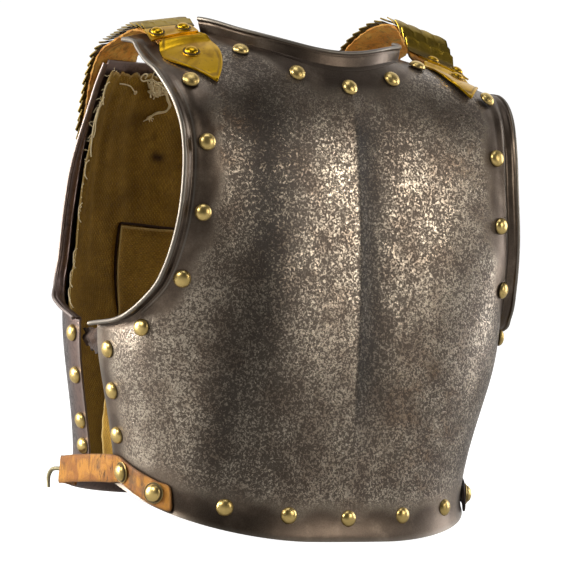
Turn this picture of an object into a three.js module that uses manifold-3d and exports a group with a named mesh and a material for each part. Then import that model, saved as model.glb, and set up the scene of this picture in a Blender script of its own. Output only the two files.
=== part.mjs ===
// A heavy cavalry cuirass standing on its lower edges: breastplate and backplate of steel with
// brass rivets, canvas linings, shoulder straps covered with brass scales, and waist straps.
// Millimetres, +Z up. The front faces -Y, the wearer's right is -X, and the floor is z = 0.
import * as THREE from "three";
import Module from "manifold-3d";
import { mergeVertices } from "three/addons/utils/BufferGeometryUtils.js";

const wasm = await Module();
wasm.setup();

// ---- driving dimensions ----
const gap = 0.3; // clearance between pieces that touch
const breastWall = 2.6;
const backWall = 1.8;
const canvasWall = 2;
const liningSlack = 2.6; // how far a lining hangs off its plate
const leatherWall = 3;
const brassWall = 1.2;
const standHalfWidth = 40; // the lower edge is flat this far from the ridge
const neckHalfWidth = 98;
const shoulderLean = 0.05; // the wearer's right shoulder stands a little higher than the left
const rivetRadius = 7.4;
const rivetHeight = 5;
const waistStrapWidth = 24;
const wireRadius = 1.8;
const scaleCount = 17;
const scaleRise = 2.2;
const scaleLobe = 3;

// Each row is one level of a plate. depth and height place the middle line, and side is the depth
// of the side line. half is the half width of the full section, reach the half width at the
// plate's own edge, square the exponent of the superellipse between them, edge the height at
// reach, and crease how far the medial ridge stands out.
const breastRows = [
  { depth: 143, height: 0, side: 22, half: 165, reach: 165, square: 2.5, edge: 33, bend: 1.6 },
  { depth: 138, height: 7, side: 22, half: 163, reach: 163, square: 2.5, edge: 39, bend: 1.6 },
  { depth: 136, height: 19, side: 22, half: 164, reach: 164, square: 2.5, edge: 50, crease: 0.4 },
  { depth: 136.5, height: 62, side: 22, half: 171, reach: 171, square: 2.5, edge: 82, crease: 1.2 },
  { depth: 137, height: 105, side: 22, half: 179, reach: 179, square: 2.7, edge: 114, crease: 2.2 },
  { depth: 136.5, height: 138, side: 22, half: 186, reach: 186, square: 2.9, edge: 142, crease: 3 },
  { depth: 134.5, height: 166, side: 22, half: 189, reach: 189, square: 3, edge: 165, crease: 3 },
  { depth: 133.2, height: 180, side: 22, half: 189, reach: 186.5, square: 3.1, edge: 173, crease: 3 },
  { depth: 131.8, height: 196, side: 22, half: 188, reach: 179.5, square: 3.3, edge: 187, crease: 3 },
  { depth: 129, height: 219, side: 22, half: 186, reach: 169.5, square: 3.8, edge: 211, crease: 3 },
  { depth: 122.5, height: 262, side: 22, half: 182, reach: 161.5, square: 5.4, edge: 255, crease: 3 },
  { depth: 114, height: 304, side: 22, half: 178, reach: 157, square: 7, edge: 300, crease: 3 },
  { depth: 104.5, height: 340, side: 22, half: 175, reach: 157, square: 8, edge: 338, crease: 3 },
  { depth: 94, height: 364, side: 22, half: 172, reach: 160.5, square: 7, edge: 364, crease: 2.6 },
  { depth: 81, height: 386, side: -10, half: 185, reach: 164, square: 4, edge: 382, crease: 1.6 },
  { depth: 63, height: 403, side: -30, half: 210, reach: 165, square: 2.4, edge: 388, bend: 2.8 },
  { depth: 33, height: 411, side: -30, half: 240, reach: 165, square: 2.2, edge: 394, bend: 2.8 },
  { depth: 8, height: 415, side: 8, half: 240, reach: 165, square: 2.2, edge: 399, bend: 2.8 },
  { depth: -15, height: 416, side: -15, half: 240, reach: 165, square: 2.2, edge: 400, bend: 2.8 },
];
const breast = { facing: -1, rows: breastRows, armRow: 6, neckHeight: 397, neckHalf: neckHalfWidth };

const backRows = [
  { depth: 143, height: 0, side: 22, half: 166, reach: 166, square: 2.3, edge: 32, bend: 1.6 },
  { depth: 136, height: 8, side: 22, half: 163, reach: 163, square: 2.3, edge: 38, bend: 1.6 },
  { depth: 132, height: 20, side: 22, half: 164, reach: 164, square: 2.3, edge: 48 },
  { depth: 127, height: 62, side: 22, half: 170, reach: 170, square: 2.3, edge: 80 },
  { depth: 126, height: 105, side: 22, half: 177, reach: 177, square: 2.4, edge: 113 },
  { depth: 128, height: 138, side: 22, half: 182, reach: 182, square: 2.5, edge: 141 },
  { depth: 130, height: 166, side: 22, half: 184, reach: 184, square: 2.6, edge: 165 },
  { depth: 132, height: 181, side: 22, half: 183, reach: 179, square: 2.7, edge: 174 },
  { depth: 134, height: 197, side: 22, half: 181, reach: 169, square: 2.9, edge: 188 },
  { depth: 136.5, height: 222, side: 22, half: 178, reach: 160.5, square: 3, edge: 214 },
  { depth: 138, height: 262, side: 22, half: 176, reach: 157, square: 3, edge: 256 },
  { depth: 137, height: 305, side: 22, half: 172.5, reach: 151.5, square: 3, edge: 302 },
  { depth: 131, height: 340, side: 22, half: 170, reach: 147, square: 3, edge: 338 },
  { depth: 123, height: 364, side: 22, half: 168, reach: 143, square: 3, edge: 364 },
  { depth: 112, height: 386, side: 22, half: 165, reach: 138, square: 3, edge: 388 },
];
const back = { facing: 1, rows: backRows, armRow: 6, neckHeight: 374, neckHalf: 82 };

// Brass rivet heads, by distance from the middle plane and height. Each stands on both sides
// where x is not 0. One on the shoulder is placed by y instead of z, and one near a side edge
// by its lateral angle instead of x.
const breastRivets = {
  neck: [{ x: 0, z: 381 }, { x: 48, z: 390 }, { x: 90, y: -51 }],
  shoulder: [{ x: 150, z: 378 }],
  arm: [{ x: 146, z: 329 }, { x: 150, z: 271 }, { x: 161, z: 215 }, { x: 180, z: 171 }],
  side: [{ angle: 0.965, z: 148 }, { angle: 0.963, z: 113 }, { angle: 0.963, z: 75 }],
  waist: [{ x: 0, z: 19 }, { x: 57, z: 21 }, { x: 110, z: 25.5 }],
};
const backSideRivets = [
  { angle: 0.965, z: 154 }, { angle: 0.965, z: 118 }, { angle: 0.965, z: 79 }, { angle: 0.965, z: 57 },
];
const backJoinedRivets = [
  { x: 0, z: 362 }, { x: 60, z: 364 }, { x: 142, z: 268 }, { x: 149, z: 222 }, { x: 168, z: 184 },
  { x: 0, z: 22 }, { x: 60, z: 24 }, { x: 115, z: 31 },
];

// Middle surface of the shoulder strap's leather behind the breastplate's shoulder: the rail
// nearer the neck (in) and the rail nearer the arm (out), for the wearer's right side.
const strapStations = [
  { inX: 106, inY: 16, inZ: 418.5, outX: 158, outY: 16, outZ: 408, lift: 1 },
  { inX: 104, inY: 44, inZ: 420, outX: 156, outY: 42, outZ: 406.5, lift: 0.72 },
  { inX: 101, inY: 70, inZ: 415.5, outX: 153, outY: 65, outZ: 402.5, lift: 0.3 },
  { inX: 99, inY: 92, inZ: 405, outX: 151, outY: 82, outZ: 396.5, lift: 0 },
  { inX: 98, inY: 109.5, inZ: 390, outX: 150.5, outY: 92.5, outZ: 387, lift: 0 },
  { inX: 97, inY: 117.5, inZ: 372, outX: 150, outY: 101, outZ: 370, lift: 0 },
  { inX: 96, inY: 125, inZ: 352, outX: 149, outY: 106, outZ: 352, lift: 0 },
  { inX: 95, inY: 131.5, inZ: 330, outX: 148, outY: 110.5, outZ: 330, lift: 0 },
  { inX: 95, inY: 135, inZ: 312, outX: 146, outY: 113.5, outZ: 312, lift: 0 },
];
// How far each strap arches above its stations, and the leather's front end on the breastplate.
const strapLift = { right: 0, left: 23 };
// The front end of a strap's leather, on the breastplate.
const strapFront = { start: -30, inX: 110, outX: 156, clearance: 1.9 };
const crossPlate = { start: -24, end: -9, inX: 109, outX: 160 };
const tongue = { tip: -80, root: -10, middleX: 134, halfWidth: 25, shoulder: -38, tipX: 128.5 };
const stud = { x: 135, y: -46 };

// Waist strap: distance from the middle plane, depth and height of its middle line where it
// leaves the breastplate, and how it runs back to the fold that holds the wire hook.
const waistStrap = {
  startAngle: 0.69, cornerAngle: 0.955, startHeight: 28, cornerHeight: 45.5,
  foldX: 175, foldY: 52, foldRadius: 4, returnY: 38, sag: 12.5,
};
const waistRivets = [0.29, 0.93]; // shares of the strap's length on the breastplate

const steel = { color: 0x6b645c, roughness: 0.42, metalness: 0.9 };
const darkSteel = { color: 0x5a4740, roughness: 0.4, metalness: 0.8 };
const brass = { color: 0xa8842a, roughness: 0.35, metalness: 0.9 };
const canvas = { color: 0x7c6232, roughness: 0.95, metalness: 0 };
const tanLeather = { color: 0xb4752c, roughness: 0.75, metalness: 0 };
const darkLeather = { color: 0x2c2019, roughness: 0.7, metalness: 0 };
const bronze = { color: 0x5d5438, roughness: 0.5, metalness: 0.8 };

// ---- small helpers ----
const clamp01 = (t) => Math.min(1, Math.max(0, t));
const smooth = (a, b, t) => {
  const k = clamp01((t - a) / (b - a));
  return k * k * (3 - 2 * k);
};
const mix = (a, b, t) => a + (b - a) * t;

// The lean of the shoulders: only high up, behind the neck line and ahead of the strap's bend.
function lean(p) {
  const high = smooth(340, 400, p.z);
  const along = smooth(-80, -10, p.y) * (1 - smooth(15, 60, p.y));
  return new THREE.Vector3(p.x, p.y, p.z - shoulderLean * p.x * high * along);
}

// ---- plate surface ----
// Point of one row at lateral angle q, from -1 at the wearer's right edge to 1 at the left edge.
function rowPoint(plate, row, q) {
  const f = Math.sin((Math.abs(q) * Math.PI) / 2);
  const x = row.reach * f;
  const section = (1 - Math.min(1, x / row.half) ** row.square) ** (1 / row.square);
  const ridge = (row.crease ?? 0) * (1 - (1 - Math.min(1, x / 45)) ** 2);
  const depth = row.side + (row.depth - row.side) * section - ridge;
  const flat = row.height < 15 ? (0.65 * standHalfWidth) / row.reach : 0;
  const share = Math.asin(x / row.half) / Math.asin(row.reach / row.half);
  const climb = clamp01((share - flat) / (1 - flat)) ** (row.bend ?? 1.8);
  return new THREE.Vector3(Math.sign(q) * x, plate.facing * depth, mix(row.height, row.edge, climb));
}

// Rows sit at knots spaced by the distance between their middle points.
function addKnots(plate) {
  plate.knots = [0];
  for (let k = 1; k < plate.rows.length; k++) {
    const a = plate.rows[k - 1];
    const b = plate.rows[k];
    plate.knots.push(plate.knots[k - 1] + Math.hypot(b.depth - a.depth, b.height - a.height));
  }
  const total = plate.knots.at(-1);
  plate.knots = plate.knots.map((k) => k / total);
}
addKnots(breast);
addKnots(back);

// Point of the plate's middle surface: a cubic through the rows' points, s from 0 to 1 going up.
// The slope breaks at the armpit row, where the side edge turns into the arm opening.
function platePoint(plate, q, s) {
  const knots = plate.knots;
  let k = knots.findIndex((knot) => knot >= s) - 1;
  k = Math.min(Math.max(k, 0), knots.length - 2);
  const at = (i) => rowPoint(plate, plate.rows[i], q);
  const span = knots[k + 1] - knots[k];
  const t = (s - knots[k]) / span;
  const a = at(k);
  const b = at(k + 1);
  const slope = (i, lowest, highest) => {
    const lo = Math.max(i - 1, lowest);
    const hi = Math.min(i + 1, highest);
    return at(hi).sub(at(lo)).multiplyScalar(span / (knots[hi] - knots[lo]));
  };
  const lowest = k >= plate.armRow ? plate.armRow : 0;
  const highest = k < plate.armRow ? plate.armRow : knots.length - 1;
  const ta = slope(k, lowest, highest);
  const tb = slope(k + 1, lowest, highest);
  const t2 = t * t;
  const t3 = t2 * t;
  const p = a.multiplyScalar(2 * t3 - 3 * t2 + 1);
  p.addScaledVector(ta, t3 - 2 * t2 + t);
  p.addScaledVector(b, 3 * t2 - 2 * t3);
  p.addScaledVector(tb, t3 - t2);
  return lean(p);
}

// Outward normal of the middle surface.
function plateNormal(plate, q, s) {
  const e = 1e-3;
  const du = platePoint(plate, q + e, s).sub(platePoint(plate, q - e, s));
  const s1 = Math.min(s + e, 1);
  const s0 = Math.max(s - e, 0);
  const dv = platePoint(plate, q, s1).sub(platePoint(plate, q, s0));
  return du.cross(dv).normalize().multiplyScalar(-plate.facing);
}

// Lateral angle and level of the surface point with the given y or z, at distance x from the
// middle plane or, where one is given, at a fixed lateral angle.
function findOnPlate(plate, x, target, axis, fixedAngle) {
  const angle = (s) => {
    if (fixedAngle !== undefined) return fixedAngle;
    const reach = platePoint(plate, 0.9999, s).x;
    return (Math.asin(Math.min(0.99999, Math.abs(x) / reach)) * 2 * Math.sign(x || 1)) / Math.PI;
  };
  const rising = axis === "z" ? 1 : -plate.facing;
  let low = 0;
  let high = 1;
  for (let i = 0; i < 40; i++) {
    const s = (low + high) / 2;
    const value = platePoint(plate, angle(s), s)[axis];
    if (rising * (value - target) < 0) low = s;
    else high = s;
  }
  const s = (low + high) / 2;
  return { q: x === 0 && fixedAngle === undefined ? 0 : angle(s), s };
}

function neckLevel(plate) {
  return findOnPlate(plate, 0, plate.neckHeight, "z").s;
}

// Upper border of a plate: the U of the neck, then the shoulder's end. u runs from -1 to 1.
function upperBorder(plate, u) {
  const neckShare = 0.62;
  const topReach = plate.rows.at(-1).reach;
  const lowest = neckLevel(plate);
  const side = Math.abs(u);
  if (side >= neckShare) {
    const x = mix(plate.neckHalf, topReach, (side - neckShare) / (1 - neckShare));
    return { q: (Math.sign(u) * Math.asin(x / topReach) * 2) / Math.PI, s: 1 };
  }
  const angle = ((side / neckShare) * Math.PI) / 2;
  const x = plate.neckHalf * Math.sin(angle);
  return {
    q: (Math.sign(u) * Math.asin(x / topReach) * 2) / Math.PI,
    s: 1 - (1 - lowest) * Math.cos(angle),
  };
}

// Lateral angle and level of grid place (u, v): straight columns that bend to the upper border.
function plateParameters(plate, u, v) {
  const top = upperBorder(plate, u);
  return { q: mix(u, top.q, v ** 2.5), s: v * top.s };
}

// ---- solids ----
function meshOf(name, geometry, finish) {
  const mesh = new THREE.Mesh(geometry, new THREE.MeshStandardMaterial(finish));
  mesh.name = name;
  return mesh;
}

function toSolid(geometry) {
  const bare = geometry.index ? geometry.toNonIndexed() : geometry.clone();
  bare.deleteAttribute("normal");
  bare.deleteAttribute("uv");
  const merged = mergeVertices(bare, 1e-3);
  return new wasm.Manifold(
    new wasm.Mesh({
      numProp: 3,
      vertProperties: merged.attributes.position.array,
      triVerts: new Uint32Array(merged.index.array),
    }),
  );
}

function toGeometry(solid) {
  const made = solid.getMesh();
  const geometry = new THREE.BufferGeometry();
  const count = made.vertProperties.length / made.numProp;
  const positions = new Float32Array(count * 3);
  for (let i = 0; i < count; i++)
    for (let c = 0; c < 3; c++) positions[i * 3 + c] = made.vertProperties[i * made.numProp + c];
  geometry.setAttribute("position", new THREE.BufferAttribute(positions, 3));
  geometry.setIndex(new THREE.BufferAttribute(new Uint32Array(made.triVerts), 1));
  geometry.computeVertexNormals();
  return geometry;
}

// One solid of several that overlap. Pockets closed inside a wall are filled.
function union(geometries) {
  const joined = geometries.map(toSolid).reduce((a, b) => a.add(b));
  const bodies = joined.decompose().sort((a, b) => b.volume() - a.volume());
  return toGeometry(bodies[0]);
}

// Closed wall between two grids of points, front being the outer one. Both are lists of rows.
function wallBetween(front, rear) {
  const rows = front.length;
  const cols = front[0].length;
  const points = [...front.flat(), ...rear.flat()];
  const rearStart = rows * cols;
  const faces = [];
  const quad = (a, b, c, d) => faces.push(a, b, c, a, c, d);
  const at = (i, j) => i * cols + j;
  for (let i = 0; i < rows - 1; i++)
    for (let j = 0; j < cols - 1; j++) {
      quad(at(i, j), at(i, j + 1), at(i + 1, j + 1), at(i + 1, j));
      quad(
        rearStart + at(i, j), rearStart + at(i + 1, j),
        rearStart + at(i + 1, j + 1), rearStart + at(i, j + 1),
      );
    }
  const border = [];
  for (let j = 0; j < cols - 1; j++) border.push(at(0, j));
  for (let i = 0; i < rows - 1; i++) border.push(at(i, cols - 1));
  for (let j = cols - 1; j > 0; j--) border.push(at(rows - 1, j));
  for (let i = rows - 1; i > 0; i--) border.push(at(i, 0));
  border.forEach((a, n) => {
    const b = border[(n + 1) % border.length];
    quad(b, a, rearStart + a, rearStart + b);
  });
  const geometry = new THREE.BufferGeometry();
  const flat = new Float32Array(points.flatMap((p) => [p.x, p.y, p.z]));
  geometry.setAttribute("position", new THREE.BufferAttribute(flat, 3));
  geometry.setIndex(faces);
  geometry.computeVertexNormals();
  return signedVolume(geometry) < 0 ? turnedRound(geometry) : geometry;
}

function signedVolume(geometry) {
  const p = geometry.attributes.position;
  const index = geometry.index.array;
  const v = [0, 1, 2].map(() => new THREE.Vector3());
  let sum = 0;
  for (let i = 0; i < index.length; i += 3) {
    v.forEach((vertex, k) => vertex.fromBufferAttribute(p, index[i + k]));
    sum += v[0].dot(v[1].clone().cross(v[2]));
  }
  return sum;
}

function turnedRound(geometry) {
  const index = Array.from(geometry.index.array);
  for (let i = 0; i < index.length; i += 3) [index[i + 1], index[i + 2]] = [index[i + 2], index[i + 1]];
  geometry.setIndex(index);
  return geometry;
}

// Unit normals of a grid of points, by the cross product of its two directions.
function gridNormals(grid) {
  const rows = grid.length;
  const cols = grid[0].length;
  return grid.map((row, i) =>
    row.map((_, j) => {
      const across = grid[i][Math.min(j + 1, cols - 1)].clone().sub(grid[i][Math.max(j - 1, 0)]);
      const along = grid[Math.min(i + 1, rows - 1)][j].clone().sub(grid[Math.max(i - 1, 0)][j]);
      return across.cross(along).normalize();
    }),
  );
}

// Wall around a grid of middle points; from and to are offsets along the grid's normals.
function wallAlong(grid, from, to) {
  const normals = gridNormals(grid);
  const moved = (offset) =>
    grid.map((row, i) =>
      row.map((p, j) => {
        const distance = typeof offset === "function" ? offset(i, j) : offset;
        return p.clone().addScaledVector(normals[i][j], distance);
      }),
    );
  return wallBetween(moved(to), moved(from));
}

const steps = (count) => Array.from({ length: count + 1 }, (_, i) => i / count);

// ---- plates ----
// The sheet itself. Its lowest border is trimmed level where the plate stands.
function plateSheet(plate, wall, levels, columns) {
  const grids = [1, -1].map((side) =>
    levels.map((v, i) =>
      columns.map((u) => {
        const { q, s } = plateParameters(plate, u, v);
        const p = platePoint(plate, q, s);
        const n = plateNormal(plate, THREE.MathUtils.clamp(q, -0.995, 0.995), s);
        if (i === 0) n.setZ(0).normalize();
        return p.addScaledVector(n, (side * wall) / 2);
      }),
    ),
  );
  return wallBetween(grids[0], grids[1]);
}

// Levels of the grid: one at each row, and two more in the curve of the armpit.
function plateLevels(plate) {
  const { knots, armRow } = plate;
  const between = (k) => (knots[k] + knots[k + 1]) / 2;
  return [...knots, between(armRow), between(armRow + 1)].sort((a, b) => a - b);
}

const plateColumns = steps(22).map((t) => 2 * t - 1);

// Edge of the arm opening on one side as evenly spaced points, from the armpit to the shoulder.
function armEdge(plate, side, count) {
  const arm = plate.knots[plate.armRow];
  const line = new THREE.CatmullRomCurve3(
    steps(90).map((t) => platePoint(plate, side * 0.9999, mix(arm, 1, t ** 1.5))),
  );
  return steps(count).map((t) => {
    const s = mix(arm, 1, line.getUtoTmapping(t) ** 1.5);
    return {
      point: line.getPointAt(t),
      tangent: line.getTangentAt(t),
      normal: plateNormal(plate, side * 0.97, s),
    };
  });
}

// Turned-out border with a rolled bead: rooted in the sheet's wall, it leaves it toward outward.
function turnedBorder(edge, side, { width, outward, wall, bead, facing }) {
  const grid = edge.map(({ point, tangent, normal }, i) => {
    const away = tangent.clone().cross(normal).normalize().multiplyScalar(-side * facing);
    const out = new THREE.Vector3(side * outward.x, facing * outward.y, outward.z);
    out.addScaledVector(tangent, -out.dot(tangent)).normalize();
    const size = width(i / (edge.length - 1));
    const turned = point.clone().addScaledVector(away, size * 0.14);
    return [
      point.clone().addScaledVector(away, -2.2),
      point.clone().addScaledVector(away, 0.3),
      turned.clone().addScaledVector(out, size * 0.3),
      turned.clone().addScaledVector(out, size * 0.85),
      turned.clone().addScaledVector(out, size),
    ];
  });
  const walls = [wall * 0.45, wall * 0.95, wall * 0.9, wall, bead];
  const half = (sign) => (i, j) => (sign * walls[j]) / 2;
  return wallAlong(grid, half(-1), half(1));
}

function armBorder(plate, side, settings) {
  return turnedBorder(armEdge(plate, side, 16), side, { ...settings, facing: plate.facing });
}

// Upright collar around the neck, ending short of the shoulders.
function neckCollar(plate, settings) {
  const grid = steps(20).map((t) => {
    const u = (2 * t - 1) * settings.share;
    const { q, s } = upperBorder(plate, u);
    const base = platePoint(plate, q, s);
    const inward = platePoint(plate, q, s - 0.006).sub(base).normalize();
    const flare = settings.flare * (base.x / plate.neckHalf);
    const rise = new THREE.Vector3(flare, -plate.facing * settings.tilt, 1).normalize();
    return [
      base.clone().addScaledVector(inward, 2),
      base.clone().addScaledVector(inward, -0.5).addScaledVector(rise, 0.4),
      base.clone().addScaledVector(rise, settings.height * 0.3),
      base.clone().addScaledVector(rise, settings.height * 0.75),
      base.clone().addScaledVector(rise, settings.height),
    ];
  });
  const walls = [0.45, 0.95, 0.95, 1, settings.rim].map((k) => k * settings.wall);
  const half = (sign) => (i, j) => (sign * walls[j]) / 2;
  return wallAlong(grid, half(-1), half(1));
}

function breastplate() {
  const border = {
    width: (t) => mix(12.5, 7, smooth(0.75, 1, t)),
    outward: { x: 0.92, y: 0.39, z: 0 },
    wall: breastWall,
    bead: 4,
  };
  const collar = { share: 0.565, height: 15.5, flare: 0.3, tilt: 0.13, wall: breastWall, rim: 1.25 };
  const sheet = plateSheet(breast, breastWall, plateLevels(breast), plateColumns);
  const borders = [-1, 1].map((side) => armBorder(breast, side, border));
  return meshOf("breastplate", union([sheet, ...borders, neckCollar(breast, collar)]), steel);
}

function backplate() {
  const border = {
    width: (t) => mix(10, 4.5, smooth(0.6, 0.9, t)),
    outward: { x: 0.96, y: 0.25, z: 0 },
    wall: backWall,
    bead: 3,
  };
  const collar = { share: 0.6, height: 6, flare: 0.3, tilt: 0.1, wall: backWall, rim: 1.25 };
  const sheet = plateSheet(back, backWall, plateLevels(back), plateColumns);
  const heads = backJoinedRivets.flatMap((spot) =>
    (spot.x === 0 ? [0] : [-1, 1]).map((side) => rivetOnPlate(back, backWall, side, spot, -0.6)),
  );
  const borders = [-1, 1].map((side) => armBorder(back, side, border));
  const solid = union([sheet, ...borders, neckCollar(back, collar), ...heads]);
  return meshOf("backplate", solid, darkSteel);
}

// ---- rivets ----
// Domed head on an optional washer, axis +Z, underside at z = 0.
function headProfile(radius, height, washer) {
  const dome = steps(2).map((t) => {
    const angle = (t * Math.PI) / 2;
    return new THREE.Vector2(radius * Math.cos(angle), height * Math.sin(angle));
  });
  dome[dome.length - 1].x = 0;
  const points = [new THREE.Vector2(0, 0)];
  if (washer) {
    points.push(new THREE.Vector2(washer, 0), new THREE.Vector2(washer, 0.8));
    dome.forEach((p) => points.push(new THREE.Vector2(p.x, p.y + 0.8)));
  } else points.push(...dome);
  return points;
}

function headGeometry(point, normal, radius = rivetRadius, height = rivetHeight, washer = 0) {
  const geometry = new THREE.LatheGeometry(headProfile(radius, height, washer), 8);
  geometry.rotateX(Math.PI / 2);
  const turn = new THREE.Quaternion().setFromUnitVectors(new THREE.Vector3(0, 0, 1), normal);
  geometry.applyQuaternion(turn);
  geometry.translate(point.x, point.y, point.z);
  const bare = geometry.clone();
  bare.deleteAttribute("normal");
  bare.deleteAttribute("uv");
  const merged = mergeVertices(bare, 1e-3);
  return toGeometry(toSolid(signedVolume(merged) < 0 ? turnedRound(merged) : merged));
}

// side is -1, 0 or 1, and lift the height of the head's underside above the plate.
function rivetOnPlate(plate, wall, side, spot, lift, washer = 0) {
  const axis = spot.y === undefined ? "z" : "y";
  const angle = spot.angle === undefined ? undefined : side * spot.angle;
  const { q, s } = findOnPlate(plate, side * (spot.x ?? 0), spot[axis], axis, angle);
  const normal = plateNormal(plate, q, s);
  const point = platePoint(plate, q, s).addScaledVector(normal, wall / 2 + lift);
  return headGeometry(point, normal, rivetRadius, rivetHeight, washer);
}

function rivets() {
  const meshes = [];
  const sides = [["right", -1], ["left", 1]];
  const place = (plate, wall, prefix, list) =>
    list.forEach((spot, i) => {
      const named = spot.x === 0 ? [["middle", 0]] : sides;
      const lift = gap + (prefix === "waist" ? 1 : 0.4);
      named.forEach(([word, sign]) => {
        const geometry = rivetOnPlate(plate, wall, sign, spot, lift);
        meshes.push(meshOf(`${prefix}_rivet_${word}_${i + 1}`, geometry, brass));
      });
    });
  Object.entries(breastRivets).forEach(([zone, list]) => place(breast, breastWall, zone, list));
  place(back, backWall, "back_side", backSideRivets);
  return meshes;
}

// ---- linings ----
// Canvas inside a plate. Past the side edge it runs on straight by tail(s), which may be 0.
function liningWall(plate, wall, bounds, tail) {
  const offset = wall / 2 + gap + canvasWall / 2 + liningSlack;
  const grid = bounds.levels.map((s) =>
    bounds.angles.map((angle) => {
      const limit = bounds.limit(s);
      const q = THREE.MathUtils.clamp(angle, -1, 1) * limit;
      const p = platePoint(plate, q, s);
      p.addScaledVector(plateNormal(plate, THREE.MathUtils.clamp(q, -0.99, 0.99), s), -offset);
      const beyond = Math.max(0, Math.abs(angle) - 1);
      p.y -= plate.facing * beyond * tail(s, Math.sign(angle));
      return p;
    }),
  );
  return wallAlong(grid, -canvasWall / 2, canvasWall / 2);
}

function breastLining() {
  const top = findOnPlate(breast, 0, 368, "z").s;
  const bottom = findOnPlate(breast, 0, 14, "z").s;
  const arm = breast.knots[breast.armRow];
  const bounds = {
    levels: steps(11).map((t) => mix(bottom, top, t)),
    angles: [-2, ...steps(16).map((t) => 2 * t - 1), 2],
    limit: (s) => mix(1, 0.93, smooth(arm * 0.9, arm * 1.15, s)),
  };
  const tail = (s) => mix(30, 0.6, smooth(0.06, arm * 0.82, s));
  return meshOf("breast_lining", liningWall(breast, breastWall, bounds, tail), canvas);
}

function backLining() {
  const top = findOnPlate(back, 0, 378, "z").s;
  const bottom = findOnPlate(back, 0, 14, "z").s;
  const bounds = {
    levels: steps(11).map((t) => mix(bottom, top, t)),
    angles: steps(18).map((t) => 2 * t - 1),
    limit: (s) => mix(0.96, 0.93, smooth(0.3, 0.6, s)),
  };
  return meshOf("back_lining", liningWall(back, backWall, bounds, () => 0), canvas);
}

// ---- shoulder straps ----
// Point above the breastplate's shoulder, height measured from the sheet's outer face.
function aboveShoulder(x, y, height) {
  const { q, s } = findOnPlate(breast, x, y, "y");
  return platePoint(breast, q, s).addScaledVector(plateNormal(breast, q, s), breastWall / 2 + height);
}

// The two rails of a strap's leather as smooth curves, side -1 for the wearer's right.
function strapRails(side) {
  const lift = side < 0 ? strapLift.right : strapLift.left;
  const height = strapFront.clearance + leatherWall / 2;
  const onPlate = [strapFront.start, -20, -9];
  const rail = (key, frontX) => {
    const points = onPlate.map((y) => aboveShoulder(side * frontX, y, height));
    strapStations.forEach((st) => {
      const z = st[`${key}Z`] + lift * st.lift;
      points.push(lean(new THREE.Vector3(side * st[`${key}X`], st[`${key}Y`], z)));
    });
    return new THREE.CatmullRomCurve3(points, false, "centripetal");
  };
  return { inner: rail("in", strapFront.inX), outer: rail("out", strapFront.outX) };
}

// Point of the strap's middle surface: along from 0 at the front end to 1, across from -1 to 1.
function strapPoint(rails, along, across) {
  const a = rails.inner.getPointAt(along);
  const b = rails.outer.getPointAt(along);
  return a.lerp(b, (across + 1) / 2);
}

function strapGrid(rails, alongs, acrosses) {
  return alongs.map((along) => acrosses.map((across) => strapPoint(rails, along, across)));
}

// Upward side of a grid, as the sign to give offsets so that positive means away from the body.
function upwardSign(grid) {
  const normals = gridNormals(grid);
  return Math.sign(normals[Math.floor(normals.length / 4)][0].z);
}

function shoulderLeather(side, word) {
  const rails = strapRails(side);
  const grid = strapGrid(rails, steps(24), [-0.94, 0, 0.94]);
  return meshOf(`shoulder_leather_${word}`, wallAlong(grid, -leatherWall / 2, leatherWall / 2), tanLeather);
}

// Overlapping scales as one run: each rises to its free, two-lobed edge and then drops.
function shoulderScales(side, word) {
  const rails = strapRails(side);
  const acrosses = steps(4).map((t) => 2 * t - 1);
  const first = 0.17;
  const last = 0.97;
  const length = rails.inner.getLength();
  const lobe = (across) => (scaleLobe * (1 - Math.abs(Math.cos(across * Math.PI)) ** 2)) / length;
  const alongs = [];
  for (let i = 0; i < scaleCount; i++) {
    alongs.push({ t: (i + 0.02) / scaleCount, rise: 0.5, edge: i > 0 });
    alongs.push({ t: (i + 0.98) / scaleCount, rise: scaleRise, edge: true });
  }
  const grid = alongs.map(({ t, edge }) =>
    acrosses.map((across) => {
      const along = mix(first, last, t) + (edge ? lobe(across) : 0);
      return strapPoint(rails, Math.min(along, 0.995), across);
    }),
  );
  const sign = upwardSign(grid);
  const floor = leatherWall / 2 + gap + 0.75;
  const top = (i) => sign * (floor + brassWall + alongs[i].rise);
  return meshOf(`shoulder_scales_${word}`, wallAlong(grid, sign * floor, top), brass);
}

// Pointed brass tongue: lies on the breastplate and climbs over the leather's front end.
function shoulderTongue(side, word) {
  const { tip, root, middleX, halfWidth, shoulder, tipX } = tongue;
  const grid = steps(12).map((t) => {
    const y = mix(tip, root, t);
    const taper = clamp01((y - tip) / (shoulder - tip));
    const half = Math.max(0.4, halfWidth * Math.sin((taper * Math.PI) / 2) ** 0.85);
    const centre = mix(tipX, middleX, smooth(0, 1, taper));
    const onLeather = smooth(strapFront.start - 11, strapFront.start - 2, y);
    const climb = onLeather * (leatherWall + strapFront.clearance + 0.1);
    const height = gap + 0.7 + climb;
    return [-1, -0.5, 0, 0.5, 1].map((k) => aboveShoulder(side * (centre + k * half), y, height));
  });
  const sign = upwardSign(grid);
  return meshOf(`shoulder_tongue_${word}`, wallAlong(grid, 0, sign * brassWall), brass);
}

function shoulderCross(side, word) {
  const { start, end, inX, outX } = crossPlate;
  const height = strapFront.clearance + leatherWall + gap + brassWall + gap + 1.2;
  const grid = steps(3).map((t) =>
    steps(6).map((k) => aboveShoulder(side * mix(inX, outX, k), mix(start, end, t), height)),
  );
  const sign = upwardSign(grid);
  const bar = wallAlong(grid, 0, sign * 1.5);
  const heads = [127, 152].map((x) => {
    const { q, s } = findOnPlate(breast, side * x, -15, "y");
    return headGeometry(aboveShoulder(side * x, -15, height + 1), plateNormal(breast, q, s), 5.6, 4);
  });
  return meshOf(`shoulder_cross_${word}`, union([bar, ...heads]), brass);
}

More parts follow.
